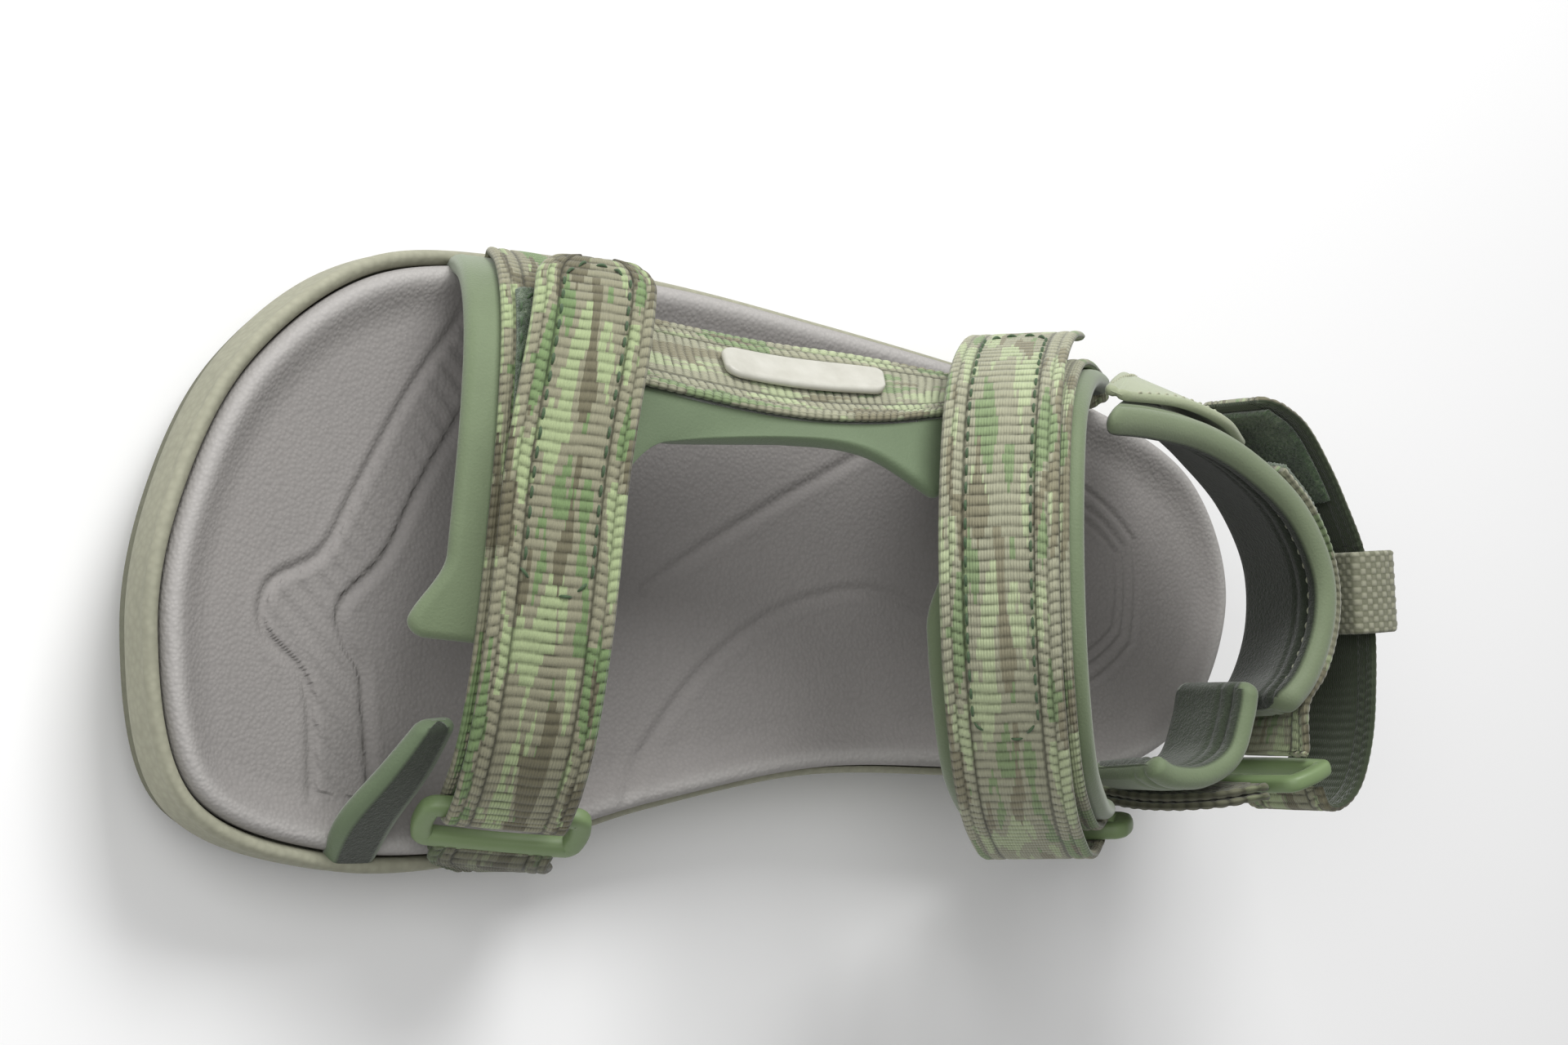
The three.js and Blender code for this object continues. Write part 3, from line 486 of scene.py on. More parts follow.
def footbed_top(flat, fall):
    """Top of the footbed: edge height, fall towards the middle, grooves and a cupped heel."""
    zig, zag = (spline(line, np.linspace(0, 1, 160)) for line in (ZIGZAG_FRONT, ZIGZAG_BACK))
    z = edge_height(flat[:, 0]) + fall
    groove = np.minimum(distance_to(flat, zig), distance_to(flat, zag))
    z += dip(groove, 0.85, 0.62)
    for line in WAIST_SWEEPS:
        z += dip(distance_to(flat, spline(line, np.linspace(0, 1, 160))), 0.9, 0.5)
    for radius in HEXAGON_RADII:
        z += dip(distance_to(flat, hexagon(radius)), 0.5, 0.42)
    band = inside(flat, np.concatenate([zig, zag[::-1]])) & (groove > 0.8)
    return z, band


ring_flat = inset_rings.reshape(-1, 2)
ring_z, ring_band = footbed_top(ring_flat, np.repeat(EDGE_FALL, 2 * HALF_RUN))
middle_flat = middle_grid.reshape(-1, 2)
middle_z, middle_band = footbed_top(middle_flat, np.full(len(middle_flat), EDGE_FALL[-1]))
around = 2 * HALF_RUN
shell_points = np.concatenate([np.concatenate(under), np.column_stack([ring_flat, ring_z]),
                               np.column_stack([middle_flat, middle_z])])
rings = len(under) + len(INSET)
i, j = np.meshgrid(np.arange(rings - 1), np.arange(around), indexing="ij")
k = (j + 1) % around
shell_quads = np.stack([i * around + j, i * around + k, (i + 1) * around + k, (i + 1) * around + j],
                       -1).reshape(-1, 4)
i, j = np.meshgrid(np.arange(HALF_RUN), np.arange(ACROSS - 1), indexing="ij")
base = rings * around
middle_quads = base + np.stack([i * ACROSS + j, (i + 1) * ACROSS + j, (i + 1) * ACROSS + j + 1,
                                i * ACROSS + j + 1], -1).reshape(-1, 4)
a = np.arange(HALF_RUN - 1)
bottom_quads = np.stack([a, around - 1 - a, around - 2 - a, a + 1], -1)

eva_finish = Finish("footbed_foam", 0.85)
place = eva_finish.object_place()
pebble = eva_finish.node("TexVoronoi", {"feature": "SMOOTH_F1"}, Vector=place, Scale=1700.0,
                         Smoothness=0.5)
cloud = eva_finish.noise(place, 30, 3)
grey = eva_finish.blend(cloud, paint(139, 136, 134), paint(153, 149, 146))
# The attribute edge carries a painted highlight: the grey is blended towards a pale grey along the rounded edge and
# its side wall.
edge_highlight_mask = eva_finish.attribute("edge").outputs["Fac"]
grey = eva_finish.blend(edge_highlight_mask, grey, paint(176, 173, 170))
speck = eva_finish.steps(pebble.outputs["Distance"], [(0.1, (1, 1, 1, 1)),
                                                      (0.8, (0.82, 0.82, 0.82, 1))])
grey = eva_finish.node("Mix", {"data_type": "RGBA", "blend_type": "MULTIPLY"}, i0=0.5, i6=grey,
                       i7=speck).outputs[2]
band = eva_finish.attribute("band").outputs["Fac"]
hatch = eva_finish.node("TexWave", {"wave_type": "BANDS", "bands_direction": "DIAGONAL"},
                        Vector=place, Scale=150.0,
                        Distortion=0.0)
hatched = eva_finish.sum("MULTIPLY", band, hatch.outputs["Fac"])
relief = eva_finish.sum("ADD", eva_finish.sum("MULTIPLY", pebble.outputs["Distance"], -0.45),
                        hatched)
eva_finish.colour(grey)
eva_finish.bump(relief, 2.2e-4)

# Strength of the footbed's painted highlight (attribute edge): 0.6 on the side wall, a band peaking 1.2 mm in from
# the edge on top, none in the middle.
edge_share = np.concatenate([np.full(len(under) * around, 0.6),
                             np.repeat(np.exp(-((INSET - 1.2) / 1.3) ** 2), around),
                             np.zeros(len(middle_flat))])
band_share = np.concatenate([np.zeros(len(under) * around), ring_band,
                             middle_band]).astype(np.float32)
footbed = mesh_of("footbed_sheet", shell_points, np.concatenate([shell_quads, middle_quads, bottom_quads]),
                  eva_finish, values={"edge": edge_share, "band": band_share})
welded = bmesh.new()
welded.from_mesh(footbed.data)
bmesh.ops.remove_doubles(welded, verts=welded.verts, dist=2e-6)
bmesh.ops.recalc_face_normals(welded, faces=welded.faces)
welded.to_mesh(footbed.data)
welded.free()
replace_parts(footbed, "footbed")

# ---- Forefoot strap -------------------------------------------------------------------------------
# Ribbed polyester webbing with two columns of plait along each edge, dyed in broken streaks. It
# leaves the sole on the outer side, turns back round the bar of a ring and closes on itself.
WEBBING, THICK, RIB, PLAIT = 17, 1.4, 1.4, 1.65
HALF_WEBBING = WEBBING / 2
PILE, PILE_GAP = 1.15, 0.2
LOOP_LOW = THICK / 2 + PILE_GAP
HOOK_LOW = LOOP_LOW + PILE + PILE_GAP
TAIL_MIDDLE = HOOK_LOW + PILE + PILE_GAP + THICK / 2
BAR_MIDDLE = TAIL_MIDDLE / 2
PAD_HIGH, PAD_LOW = -THICK / 2 - GAP, -THICK / 2 - GAP - 3.1
TAIL_START = 1.2


class Arch:
    """A strap's wall: a profile drawn across the foot, carried along the strap's width, leaning
    back by lean and turned by skew. at(s, w, lift): s from the inner to the outer end."""

    def __init__(self, x, ground, lean, skew, crown, profile):
        sl, cl, ss, cs = np.sin(lean), np.cos(lean), np.sin(skew), np.cos(skew)
        self.across, self.up = np.array([ss, cs, 0]), np.array([-sl * cs, sl * ss, cl])
        self.width = np.array([cl * cs, -cl * ss, sl])
        self.origin = np.array([x, 0, ground])
        flat = np.array([(y, share * (crown - ground) / cl) for y, share in profile])
        self.run = spline(flat, np.linspace(0, 1, 4001), held=True)
        self.share, self.length = even(self.run)
        self.slope = np.gradient(self.run, axis=0)
        self.slope /= np.linalg.norm(self.slope, axis=1, keepdims=True)

    def at(self, s, w, lift):
        s, w, lift = np.broadcast_arrays(s, w, lift)
        p = [np.interp(s, self.share, self.run[:, k]) for k in (0, 1)]
        t = [np.interp(s, self.share, self.slope[:, k]) for k in (0, 1)]
        return (self.origin + (p[0] - t[1] * lift)[..., None] * self.across
                + (p[1] + t[0] * lift)[..., None] * self.up + w[..., None] * self.width)


def weave(along, across):
    """Height of the webbing's face from 0 to 1: round ribs across the middle, and down each edge
    two columns of knuckles that lie half a rib apart."""
    inward = HALF_WEBBING - np.abs(across)
    column = np.clip(np.floor(inward / PLAIT), 0, 1)
    round_across = np.sqrt(np.clip(1 - ((inward - (column + 0.5) * PLAIT) / (0.5 * PLAIT)) ** 2, 0,
                                   1))
    knuckle = np.abs(np.sin(np.pi * (along / RIB + 0.5 * column + 0.12 * np.sin(across * 2.1)))) ** 0.6
    rib = np.abs(np.sin(np.pi * (along / RIB + 0.05 * np.sin(across * 0.9 + along * 0.05)))) ** 0.55
    field = smooth(2 * PLAIT, 2 * PLAIT + 0.7, inward)
    wobble = 0.9 + 0.1 * np.sin(along * 1.7 + across * 1.1) * np.sin(along * 0.53)
    return np.where(inward < 2 * PLAIT, 0.92 * knuckle * (0.35 + 0.65 * round_across),
                    rib * field * 0.8) * wobble


border = np.array([0, 0.25, 0.55, 0.85, 1.15, 1.42, 1.65, 1.9, 2.2, 2.5, 2.8, 3.1, 3.4, 3.9])
COLUMNS = np.concatenate([border, np.linspace(4.9, WEBBING - 4.9, 9),
                          WEBBING - border[::-1]]) - HALF_WEBBING
RELIEF = 0.34


def webbing(name, place, start, stop, finish, body="sandal", round_end=0.0, fine=6):
    """A length of webbing between two distances along its path. place(along, across, lift) is its
    path. round_end rounds the two corners of its free end by that many millimetres."""
    along = np.linspace(start, stop, max(8, int((stop - start) / RIB * fine)))[:, None]
    loop = np.concatenate([COLUMNS, COLUMNS[::-1]])[None]
    face = np.concatenate([np.ones(len(COLUMNS)), -np.ones(len(COLUMNS))])[None]
    inset = 0.0
    if round_end:
        past = np.clip(along - (stop - round_end), 0, round_end)
        inset = round_end - np.sqrt(round_end ** 2 - past ** 2)
    across = loop * (1 - inset / HALF_WEBBING)
    height = weave(along, loop)
    edge = np.sqrt(np.clip(1 - (np.clip(0.7 - (HALF_WEBBING - np.abs(loop)), 0, 0.7) / 0.7) ** 2,
                           0.04, 1))
    lift = face * (THICK / 2 * edge + RELIEF * (height - 0.92) * edge)
    along, across, lift, height = np.broadcast_arrays(along, across, lift, height)
    made = skin(name, place(along, across, lift), finish, body,
                {"lay": np.stack([along, loop + 0 * along, 0 * along + face], -1) / 1000,
                 "relief": height})
    return made


def webbing_finish(name, ground, light, green, dark, light_share=0.5, back=None):
    """Dyed webbing: a ground colour with light, green and dark patches in streaks along the strap
    that step from rib to rib, with painted shade in the rib valleys and a painted highlight on the
    rib tops, and fine yarns across each rib. back is the colour of a brushed back face."""
    made = Finish(name, 0.86, sheen=0.25, specular=0.15)
    lay = made.attribute("lay").outputs["Vector"]
    split = made.node("SeparateXYZ", None, i0=lay)
    rib = made.sum("FLOOR", made.sum("DIVIDE", split.outputs[0], RIB / 1000), 0.0)
    streak = made.node("CombineXYZ", None, X=made.sum("MULTIPLY", rib, 0.075),
                       Y=made.sum("MULTIPLY", split.outputs[1], 210.0), Z=0.0).outputs[0]
    first = made.noise(streak, 1.0, 2.0, 0.6)
    moved = made.node("VectorMath", {"operation": "ADD"}, i0=streak, i1=(17.3, 4.1, 2.7)).outputs[0]
    second = made.noise(moved, 1.25, 1.5, 0.6)
    patch = made.steps(first, [(0.0, green), (0.43, ground), (0.56, light)], smooth=False)
    darker = made.steps(second, [(0.0, (1, 1, 1, 1)), (0.4, (0, 0, 0, 1))], smooth=False)
    tone = made.blend(darker, patch, dark)
    base = made.blend(light_share, ground, tone)
    yarn = made.node("TexWave", {"wave_type": "BANDS", "bands_direction": "Y"}, Vector=lay,
                     Scale=760.0,
                     Distortion=1.2, Detail=2.0, Detail_Scale=3.0).outputs["Fac"]
    relief = made.attribute("relief").outputs["Fac"]
    fleck = made.noise(made.node("VectorMath", {"operation": "MULTIPLY"}, i0=lay,
                                 i1=(900, 2600, 900)).outputs[0],
                       1.0, 2.0)
    # Painted shade and highlight: the colour falls to 0.16 in the rib valleys and rises to 1.1 on the rib tops,
    # following the relief, with random flecks mixed in.
    shade = made.steps(made.sum("ADD", made.sum("MULTIPLY", relief, 0.8),
                                made.sum("MULTIPLY", fleck, 0.3)),
                       [(0.12, (0.16, 0.16, 0.14, 1)), (0.6, (0.88, 0.88, 0.86, 1)),
                        (1.0, (1.1, 1.1, 1.06, 1))])
    mixed = made.node("Mix", {"data_type": "RGBA", "blend_type": "MULTIPLY"}, i0=1.0, i6=base,
                      i7=shade)
    shown = mixed.outputs[2]
    if back:
        shown = made.blend(made.sum("GREATER_THAN", split.outputs[2], 0.0), back, shown)
    made.colour(shown)
    made.bump(made.sum("ADD", made.sum("MULTIPLY", yarn, 0.6), made.sum("MULTIPLY", fleck, 0.5)),
              1.3e-4)
    return made


camo = webbing_finish("webbing_camo", paint(150, 148, 126), paint(174, 194, 144),
                      paint(106, 144, 86),
                      paint(94, 88, 68), 0.66)
forefoot = Arch(61.2, 14, 0.394, 0.08, 44.2,
                [(-35.2, 0.53), (-31, 0.72), (-24.5, 0.87), (-13, 0.975), (0, 1), (14, 0.975),
                 (27, 0.86),
                 (36, 0.64), (41, 0.33), (43, -0.06)])
FRONT_MIDDLE, FRONT_DRIFT = -1.2, 0.7


def front_tail_middle(s):
    """Middle of the forefoot flap across its wall: it drifts back towards its free end."""
    return FRONT_MIDDLE + FRONT_DRIFT - 0.8 + 4.4 * smooth(0.42, 0.85, s)


def on_arch(arch, middle, level):
    """A path along an arch at a level over its base webbing, its middle line given by s."""
    return lambda along, across, lift: arch.at(along / arch.length,
                                               middle(along / arch.length) + across,
                                               level + lift)


def into_sole(place_at):
    """The same path, but drawn in on the outer side so that its foot runs down behind the
    midsole's rim: no point stands further out than the footbed's edge plus its height over it."""
    side = outline[HALF_RUN:][np.argsort(outline[HALF_RUN:, 0])]

    def place(along, across, lift):
        p = place_at(along, across, lift)
        x, y, z = p[..., 0], p[..., 1], p[..., 2]
        limit = np.interp(x, side[:, 0], side[:, 1]) - 0.6 + np.clip(z - edge_height(x), 0, None) * 0.8 + lift
        return np.stack([x, np.where(z < edge_height(x) + 9, np.minimum(y, limit), y), z], -1)
    return place


def turned_back(arch, base_middle, tail_middle):
    """The half turn of a strap round its ring's bar, from the base layer out to the flap."""
    radius = BAR_MIDDLE
    down = arch.at(0, 0, 0) - arch.at(0.01, 0, 0)
    down /= np.linalg.norm(down)
    lift_way = arch.at(0, 0, 1) - arch.at(0, 0, 0)

    def place(along, across, lift):
        angle = np.clip(-along / radius, 0, np.pi)
        flat = np.clip(-along - np.pi * radius, 0, None)
        middle = base_middle(0.0) + (tail_middle(0.0) - base_middle(0.0)) * angle / np.pi
        bar = arch.at(0.0, middle + across, BAR_MIDDLE)
        ray = -np.cos(angle)[..., None] * lift_way + np.sin(angle)[..., None] * down
        return bar + (radius + lift)[..., None] * ray - flat[..., None] * down
    return place


def strap(title, arch, base_middle, tail_middle, tail_share, finish, flap, nodes, round_end=3.5,
          tail_finish=None):
    """Base webbing, the turn round the bar and the flap of one strap."""
    base_node, tail_node = nodes
    tail_finish = tail_finish or finish
    base = webbing(title + "_base", into_sole(on_arch(arch, base_middle, 0.0)), 0.0, arch.length,
                   finish, fine=4)
    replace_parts(base, base_node)
    turn = turned_back(arch, base_middle, tail_middle)
    total = np.pi * BAR_MIDDLE + TAIL_START
    fold = webbing(title + "_fold", lambda along, across, lift: turn(-along, across, lift), 0.0,
                   total,
                   tail_finish, body=None)
    low, high = arch.at(0, 0, 0.2), arch.at(0, 0, TAIL_MIDDLE - 0.9)
    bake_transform(fold)
    tail = webbing(title + "_flap", on_arch(arch, tail_middle, TAIL_MIDDLE), TAIL_START,
                   tail_share * arch.length,
                   tail_finish, flap, round_end)
    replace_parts(tail, tail_node)
    return tail


strap("forefoot", forefoot, lambda s: FRONT_MIDDLE - FRONT_DRIFT + 0 * s, front_tail_middle, 0.765,
      camo,
      "forefoot_flap", ("forefoot_strap", "forefoot_tail"), 5.0)

# ---- Hook-and-loop patches --------------------------------------------------------------------------
# Dark green pile, woven on a tape and stitched down on the base webbing, and the matching hooks
# under each flap.
pile_finish = Finish("pile", 0.95, sheen=0.5, specular=0.1)
place = pile_finish.object_place()
tuft = pile_finish.noise(place, 1500, 5, 0.7)
matted = pile_finish.noise(place, 260, 3)
pile_finish.colour(pile_finish.steps(pile_finish.sum("ADD", pile_finish.sum("MULTIPLY", tuft, 0.6),
                                                     pile_finish.sum("MULTIPLY", matted, 0.4)),
                                     [(0.32, paint(28, 40, 26)), (0.52, paint(74, 94, 66)),
                                      (0.7, paint(128, 140, 112))]))
pile_finish.bump(tuft, 5e-4)


def pile(name, place_at, start, stop, half, low, node, body="sandal", side=1):
    """A pile tape on one side of a path, from low outwards, its face roughened by a sum of short
    waves."""
    along = np.linspace(start, stop, int((stop - start) / 0.35))[:, None]
    cols = np.linspace(-half, half, 44)
    loop = np.concatenate([cols, cols[::-1]])[None]
    face = np.concatenate([np.ones(44), np.zeros(44)])[None]
    rough = (np.sin(along * 9.1 + loop * 4.3) * np.sin(loop * 11.7 - along * 3.1) + np.sin(along * 5.3 - loop * 7.9)) * 0.14
    rim = smooth(0, 0.8, half - np.abs(loop))
    lift = low + face * (PILE * 0.8 * (0.35 + 0.65 * rim) + rough * rim)
    along, loop, lift = np.broadcast_arrays(along, loop, side * lift)
    made = skin(name, place_at(along, loop, lift), pile_finish, body)
    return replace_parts(made, node)


front_base = on_arch(forefoot, lambda s: FRONT_MIDDLE - FRONT_DRIFT + 0 * s, 0.0)
front_flap = on_arch(forefoot, front_tail_middle, 0.0)
pile("forefoot_loops", front_base, 0.2 * forefoot.length, 0.72 * forefoot.length, 6.6, LOOP_LOW,
     "forefoot_loop_patch")
pile("forefoot_hooks", front_flap, 0.32 * forefoot.length, 0.75 * forefoot.length, 6.5, HOOK_LOW,
     "forefoot_hook_patch", "forefoot_flap")

# ---- Stitching --------------------------------------------------------------------------------------
# Lock stitches in heavy thread: short round-ended lengths that dive into a hole at each end.


def threads(name, spots, ways, ups, finish, body, length=1.9, girth=0.24):
    """One capsule per stitch: a six-sided rod that thins to its ends and bows up in the middle."""
    t, ring = np.linspace(-1, 1, 7), np.linspace(0, 2 * np.pi, 6, endpoint=False)
    side = np.cross(ways, ups)
    thin = np.sqrt(1 - 0.94 * t ** 2)[None, :, None, None] * girth
    centre = (spots[:, None] + ways[:, None] * (t * length / 2)[None, :, None]
              + ups[:, None] * (0.16 - 0.42 * t ** 2)[None, :, None])
    around_rod = (side[:, None, None] * np.cos(ring)[None, None, :, None]
                  + ups[:, None, None] * np.sin(ring)[None, None, :, None])
    points = centre[:, :, None] + around_rod * thin
    one = tube_faces(7, 6)
    quads = (one[None] + 42 * np.arange(len(spots))[:, None, None]).reshape(-1, 4)
    first = outward(points[0].reshape(-1, 3), one)
    if first is not one:
        quads = quads[:, ::-1]
    return mesh_of(name, points.reshape(-1, 3), quads, finish, body)


def unit(vectors):
    """The vectors, each divided by its length."""
    return vectors / np.linalg.norm(vectors, axis=1, keepdims=True)


def stitch_line(line, up, pitch=2.7):
    """Places, directions and normals of evenly spaced stitches on a line of points; up is the
    way off the cloth at each of them, made square to the line."""
    share, length = even(line)
    at = (np.arange(int(length / pitch)) + 0.5) * pitch / length
    pick = lambda a: np.stack([np.interp(at, share, a[:, k]) for k in range(3)], -1)
    ways, ups = unit(pick(np.gradient(line, axis=0))), pick(up)
    return pick(line), ways, unit(ups - ways * (ups * ways).sum(1, keepdims=True))


def thread_finish(name, colour):
    made = Finish(name, 0.6, sheen=0.2)
    ply = made.noise(made.object_place(), 2200, 2)
    made.colour(made.blend(ply, colour, tuple(min(1, 1.5 * c) for c in colour[:3]) + (1.0,)))
    made.bump(ply, 1e-4)
    return made


dark_thread, sage_thread = thread_finish("thread_dark", paint(58, 78, 52)), thread_finish("thread_sage", paint(150, 152, 130))


def box_stitch(name, place_at, start, stop, inset, lift, finish, body, corner=2.5):
    """Stitches round a rectangle on a flap, with cut corners."""
    reach = HALF_WEBBING - inset
    a = [start, start, start + corner, stop - corner, stop, stop, stop - corner, start + corner,
         start]
    c = [0, reach - corner, reach, reach, reach - corner, corner - reach, -reach, -reach,
         corner - reach]
    t = np.linspace(0, 1, 900)
    knots = np.linspace(0, 1, len(a))
    line, above = (place_at(np.interp(t, knots, a), np.interp(t, knots, c),
                            np.full(900, lift + more))
                   for more in (0, 1))
    return threads(name, *stitch_line(line, above - line), finish, body)


front_flap_top = on_arch(forefoot, front_tail_middle, TAIL_MIDDLE)
box_stitch("forefoot_box_stitch", front_flap_top, 0.31 * forefoot.length, 0.745 * forefoot.length,
           3.9, 0.7,
           dark_thread, "forefoot_flap")
box_stitch("forefoot_loop_stitch", front_base, 0.21 * forefoot.length, 0.715 * forefoot.length,
           2.4, 1.9,
           dark_thread, "sandal")

# ---- Rings ------------------------------------------------------------------------------------------
# Moulded green plastic, a round-cornered frame with a full, soft section. One bar holds the strap,
# the other the doubled anchor webbing.
ring_finish = Finish("ring_plastic", 0.42, specular=0.45)
place = ring_finish.object_place()
cast = ring_finish.noise(place, 500, 3)
ring_finish.colour(ring_finish.blend(ring_finish.noise(place, 60, 2), paint(108, 128, 88),
                                     paint(132, 152, 108)))
ring_finish.roughness(ring_finish.node("MapRange", None, Value=cast, To_Min=0.35,
                                       To_Max=0.6).outputs[0])
ring_finish.bump(cast, 5e-5)


def ring(name, node, bar, width, hang):
    """A rounded oblong path, 21.8 by 8.2 mm between the middles of its bars, with a squarish
    rounded section of 3 by 2.6 mm carried round it. Returns the anchor bar's middle."""
    x = width / np.linalg.norm(width)
    y = hang - x * (hang @ x)
    y /= np.linalg.norm(y)
    z = np.cross(x, y)
    half_x, half_y, corner = 10.9, 4.1, 2.4
    t = np.linspace(0, 2 * np.pi, 200, endpoint=False)
    turn_x, turn_y = np.cos(t), np.sin(t)
    square = np.maximum(np.abs(turn_x), np.abs(turn_y))
    path = np.stack([np.clip(1.5 * turn_x / square, -1, 1) * (half_x - corner),
                     np.clip(1.5 * turn_y / square, -1, 1) * (half_y - corner)], -1)
    path += corner * np.stack([turn_x, turn_y], -1)
    ahead = np.roll(path, -1, 0) - np.roll(path, 1, 0)
    out = np.stack([ahead[:, 1], -ahead[:, 0]], -1)
    out /= np.linalg.norm(out, axis=1, keepdims=True)
    a = np.linspace(0, 2 * np.pi, 20, endpoint=False)
    section = np.stack([1.5 * np.sign(np.cos(a)) * np.abs(np.cos(a)) ** 0.7,
                        1.3 * np.sign(np.sin(a)) * np.abs(np.sin(a)) ** 0.7], -1)
    flat = path[:, None] + out[:, None] * section[None, :, :1]
    centre = bar + y * half_y
    loops = (centre + flat[..., :1] * x + flat[..., 1:] * y + section[None, :, 1:] * z)
    made = skin(name, loops, ring_finish, closed=True)
    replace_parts(made, node)
    return centre + y * half_y, y


down_at = lambda arch: (arch.at(0, 0, 0) - arch.at(0.01, 0,
                                                   0)) / np.linalg.norm(arch.at(0, 0, 0) - arch.at(0.01, 0, 0))
front_anchor_bar, front_hang = ring("forefoot_ring_moulding", "forefoot_ring",
                                    forefoot.at(0, FRONT_MIDDLE, BAR_MIDDLE),
                                    forefoot.width, down_at(forefoot))


def band(*edges):
    """A surface through edge lines given by points: at(u, v, lift), u along them and v across,
    lifted along its normal, and place(along, across, lift) in millimetres for webbing."""
    edges = [np.asarray(e, float) for e in edges]

    def on(u, v):
        u, v = np.broadcast_arrays(u, v)
        lines = np.stack([spline(e, u) for e in edges])
        x = np.clip(v, 0, 1) * (len(edges) - 1)
        i = np.minimum(x.astype(int), len(edges) - 2)
        f = (x - i)[..., None]
        pick = lambda k: np.take_along_axis(lines, k[None, ..., None], 0)[0]
        return pick(i) * (1 - f) + pick(i + 1) * f

    def at(u, v, lift):
        h = 0.004
        du = on(np.clip(u + h, 0, 1), v) - on(np.clip(u - h, 0, 1), v)
        dv = on(u, np.clip(v + h, 0, 1)) - on(u, np.clip(v - h, 0, 1))
        n = np.cross(du, dv)
        n /= np.linalg.norm(n, axis=-1, keepdims=True) + 1e-12
        return on(u, v) + n * np.broadcast_to(lift, n.shape[:-1])[..., None]

    u = np.linspace(0, 1, 600)
    share, length = even(on(u, np.full(600, 0.5)))
    place_at = lambda along, across, lift: at(np.interp(along / length, share, u),
                                              0.5 + across / WEBBING, lift)
    return at, place_at, length


def anchor(name, node, front, rear, finish):
    """Doubled webbing between two edge lines, from the sole up to a ring's anchor bar: an
    outer and an inner layer, 1.45 mm apart, which both end at the bar."""
    _, place_at, length = band(front, rear)
    made = webbing(name, lambda a, w, l: place_at(a, w, l + 0.72), 0, length, finish, fine=5)
    inner = webbing(name + "_inner", lambda a, w, l: place_at(a, w, l - 0.72), 0, length, finish,
                    fine=4)
    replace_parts(made, node)


# A darker copy of the camo webbing for the anchor straps: painted shade, for straps on the medial side that lie in
# shadow.
shaded_anchor_webbing = webbing_finish("webbing_painted_shade", paint(112, 112, 94), paint(138, 146, 116),
                      paint(92, 112, 78), paint(80, 76, 62), 0.55)
front_edge = forefoot.width * HALF_WEBBING
bar_end = front_anchor_bar + front_hang * 0.4
anchor("forefoot_anchor", "forefoot_ring_anchor",
       [(61 - 8.5, -43.6, 11.5), (60 - 8.5, -43.9, 15), bar_end + front_hang * 4 - front_edge,
        bar_end - front_edge],
       [(61 + 8.5, -43.6, 11.5), (60 + 8.5, -43.9, 15), bar_end + front_hang * 4 + front_edge,
        bar_end + front_edge], shaded_anchor_webbing)

# ---- Instep strap -----------------------------------------------------------------------------------
# The same webbing over the instep, paler at its free end, with its ring, anchor and pile patches.
instep = Arch(162.8, 20, 0.873, -0.06, 63.2,
              [(-35.6, 0.3), (-36.4, 0.42), (-34.6, 0.6), (-27.5, 0.83), (-14, 0.965), (0, 1),
               (13, 0.965),
               (25.5, 0.85), (32.5, 0.62), (34.4, 0.34), (33.4, 0.0)])
STEP_DRIFT = 0.5
camo_pale = webbing_finish("webbing_pale", paint(164, 164, 142), paint(188, 204, 160),
                           paint(114, 148, 94),
                           paint(122, 114, 92), 0.6)
strap("instep", instep, lambda s: STEP_DRIFT + 0 * s, lambda s: 0 * s - STEP_DRIFT, 0.84, camo_pale,
      "instep_flap", ("instep_strap", "instep_tail"), 2.5)
step_base = on_arch(instep, lambda s: STEP_DRIFT + 0 * s, 0.0)
step_flap = on_arch(instep, lambda s: 0 * s - STEP_DRIFT, 0.0)
pile("instep_loops", step_base, 0.2 * instep.length, 0.62 * instep.length, 6.6, LOOP_LOW,
     "instep_loop_patch")
pile("instep_hooks", step_flap, 0.32 * instep.length, 0.74 * instep.length, 6.5, HOOK_LOW,
     "instep_hook_patch", "instep_flap")
step_flap_top = on_arch(instep, lambda s: 0 * s - STEP_DRIFT, TAIL_MIDDLE)
box_stitch("instep_box_stitch", step_flap_top, 0.31 * instep.length, 0.735 * instep.length, 3.9,
           0.7,
           dark_thread, "instep_flap")
box_stitch("instep_loop_stitch", step_base, 0.21 * instep.length, 0.615 * instep.length, 2.4, 1.9,
           dark_thread, "sandal")
step_anchor_bar, step_hang = ring("instep_ring_moulding", "instep_ring",
                                  instep.at(0, 0, BAR_MIDDLE),
                                  instep.width, down_at(instep))
step_edge = instep.width * HALF_WEBBING
step_end = step_anchor_bar + step_hang * 2.4
step_route = [np.array(p) for p in ((163, -35.4, 21), (160.6, -35.9,
                                                       23.2))] + [step_end + step_hang, step_end]
anchor("instep_anchor", "instep_ring_anchor", [p - step_edge for p in step_route],
       [p + step_edge for p in step_route], shaded_anchor_webbing)

# ---- Foam liners ------------------------------------------------------------------------------------
# Soft foam pads under the straps: smooth laminated green cloth outside, dark brushed lining on the
# side of the foot, and a turned edge all round.


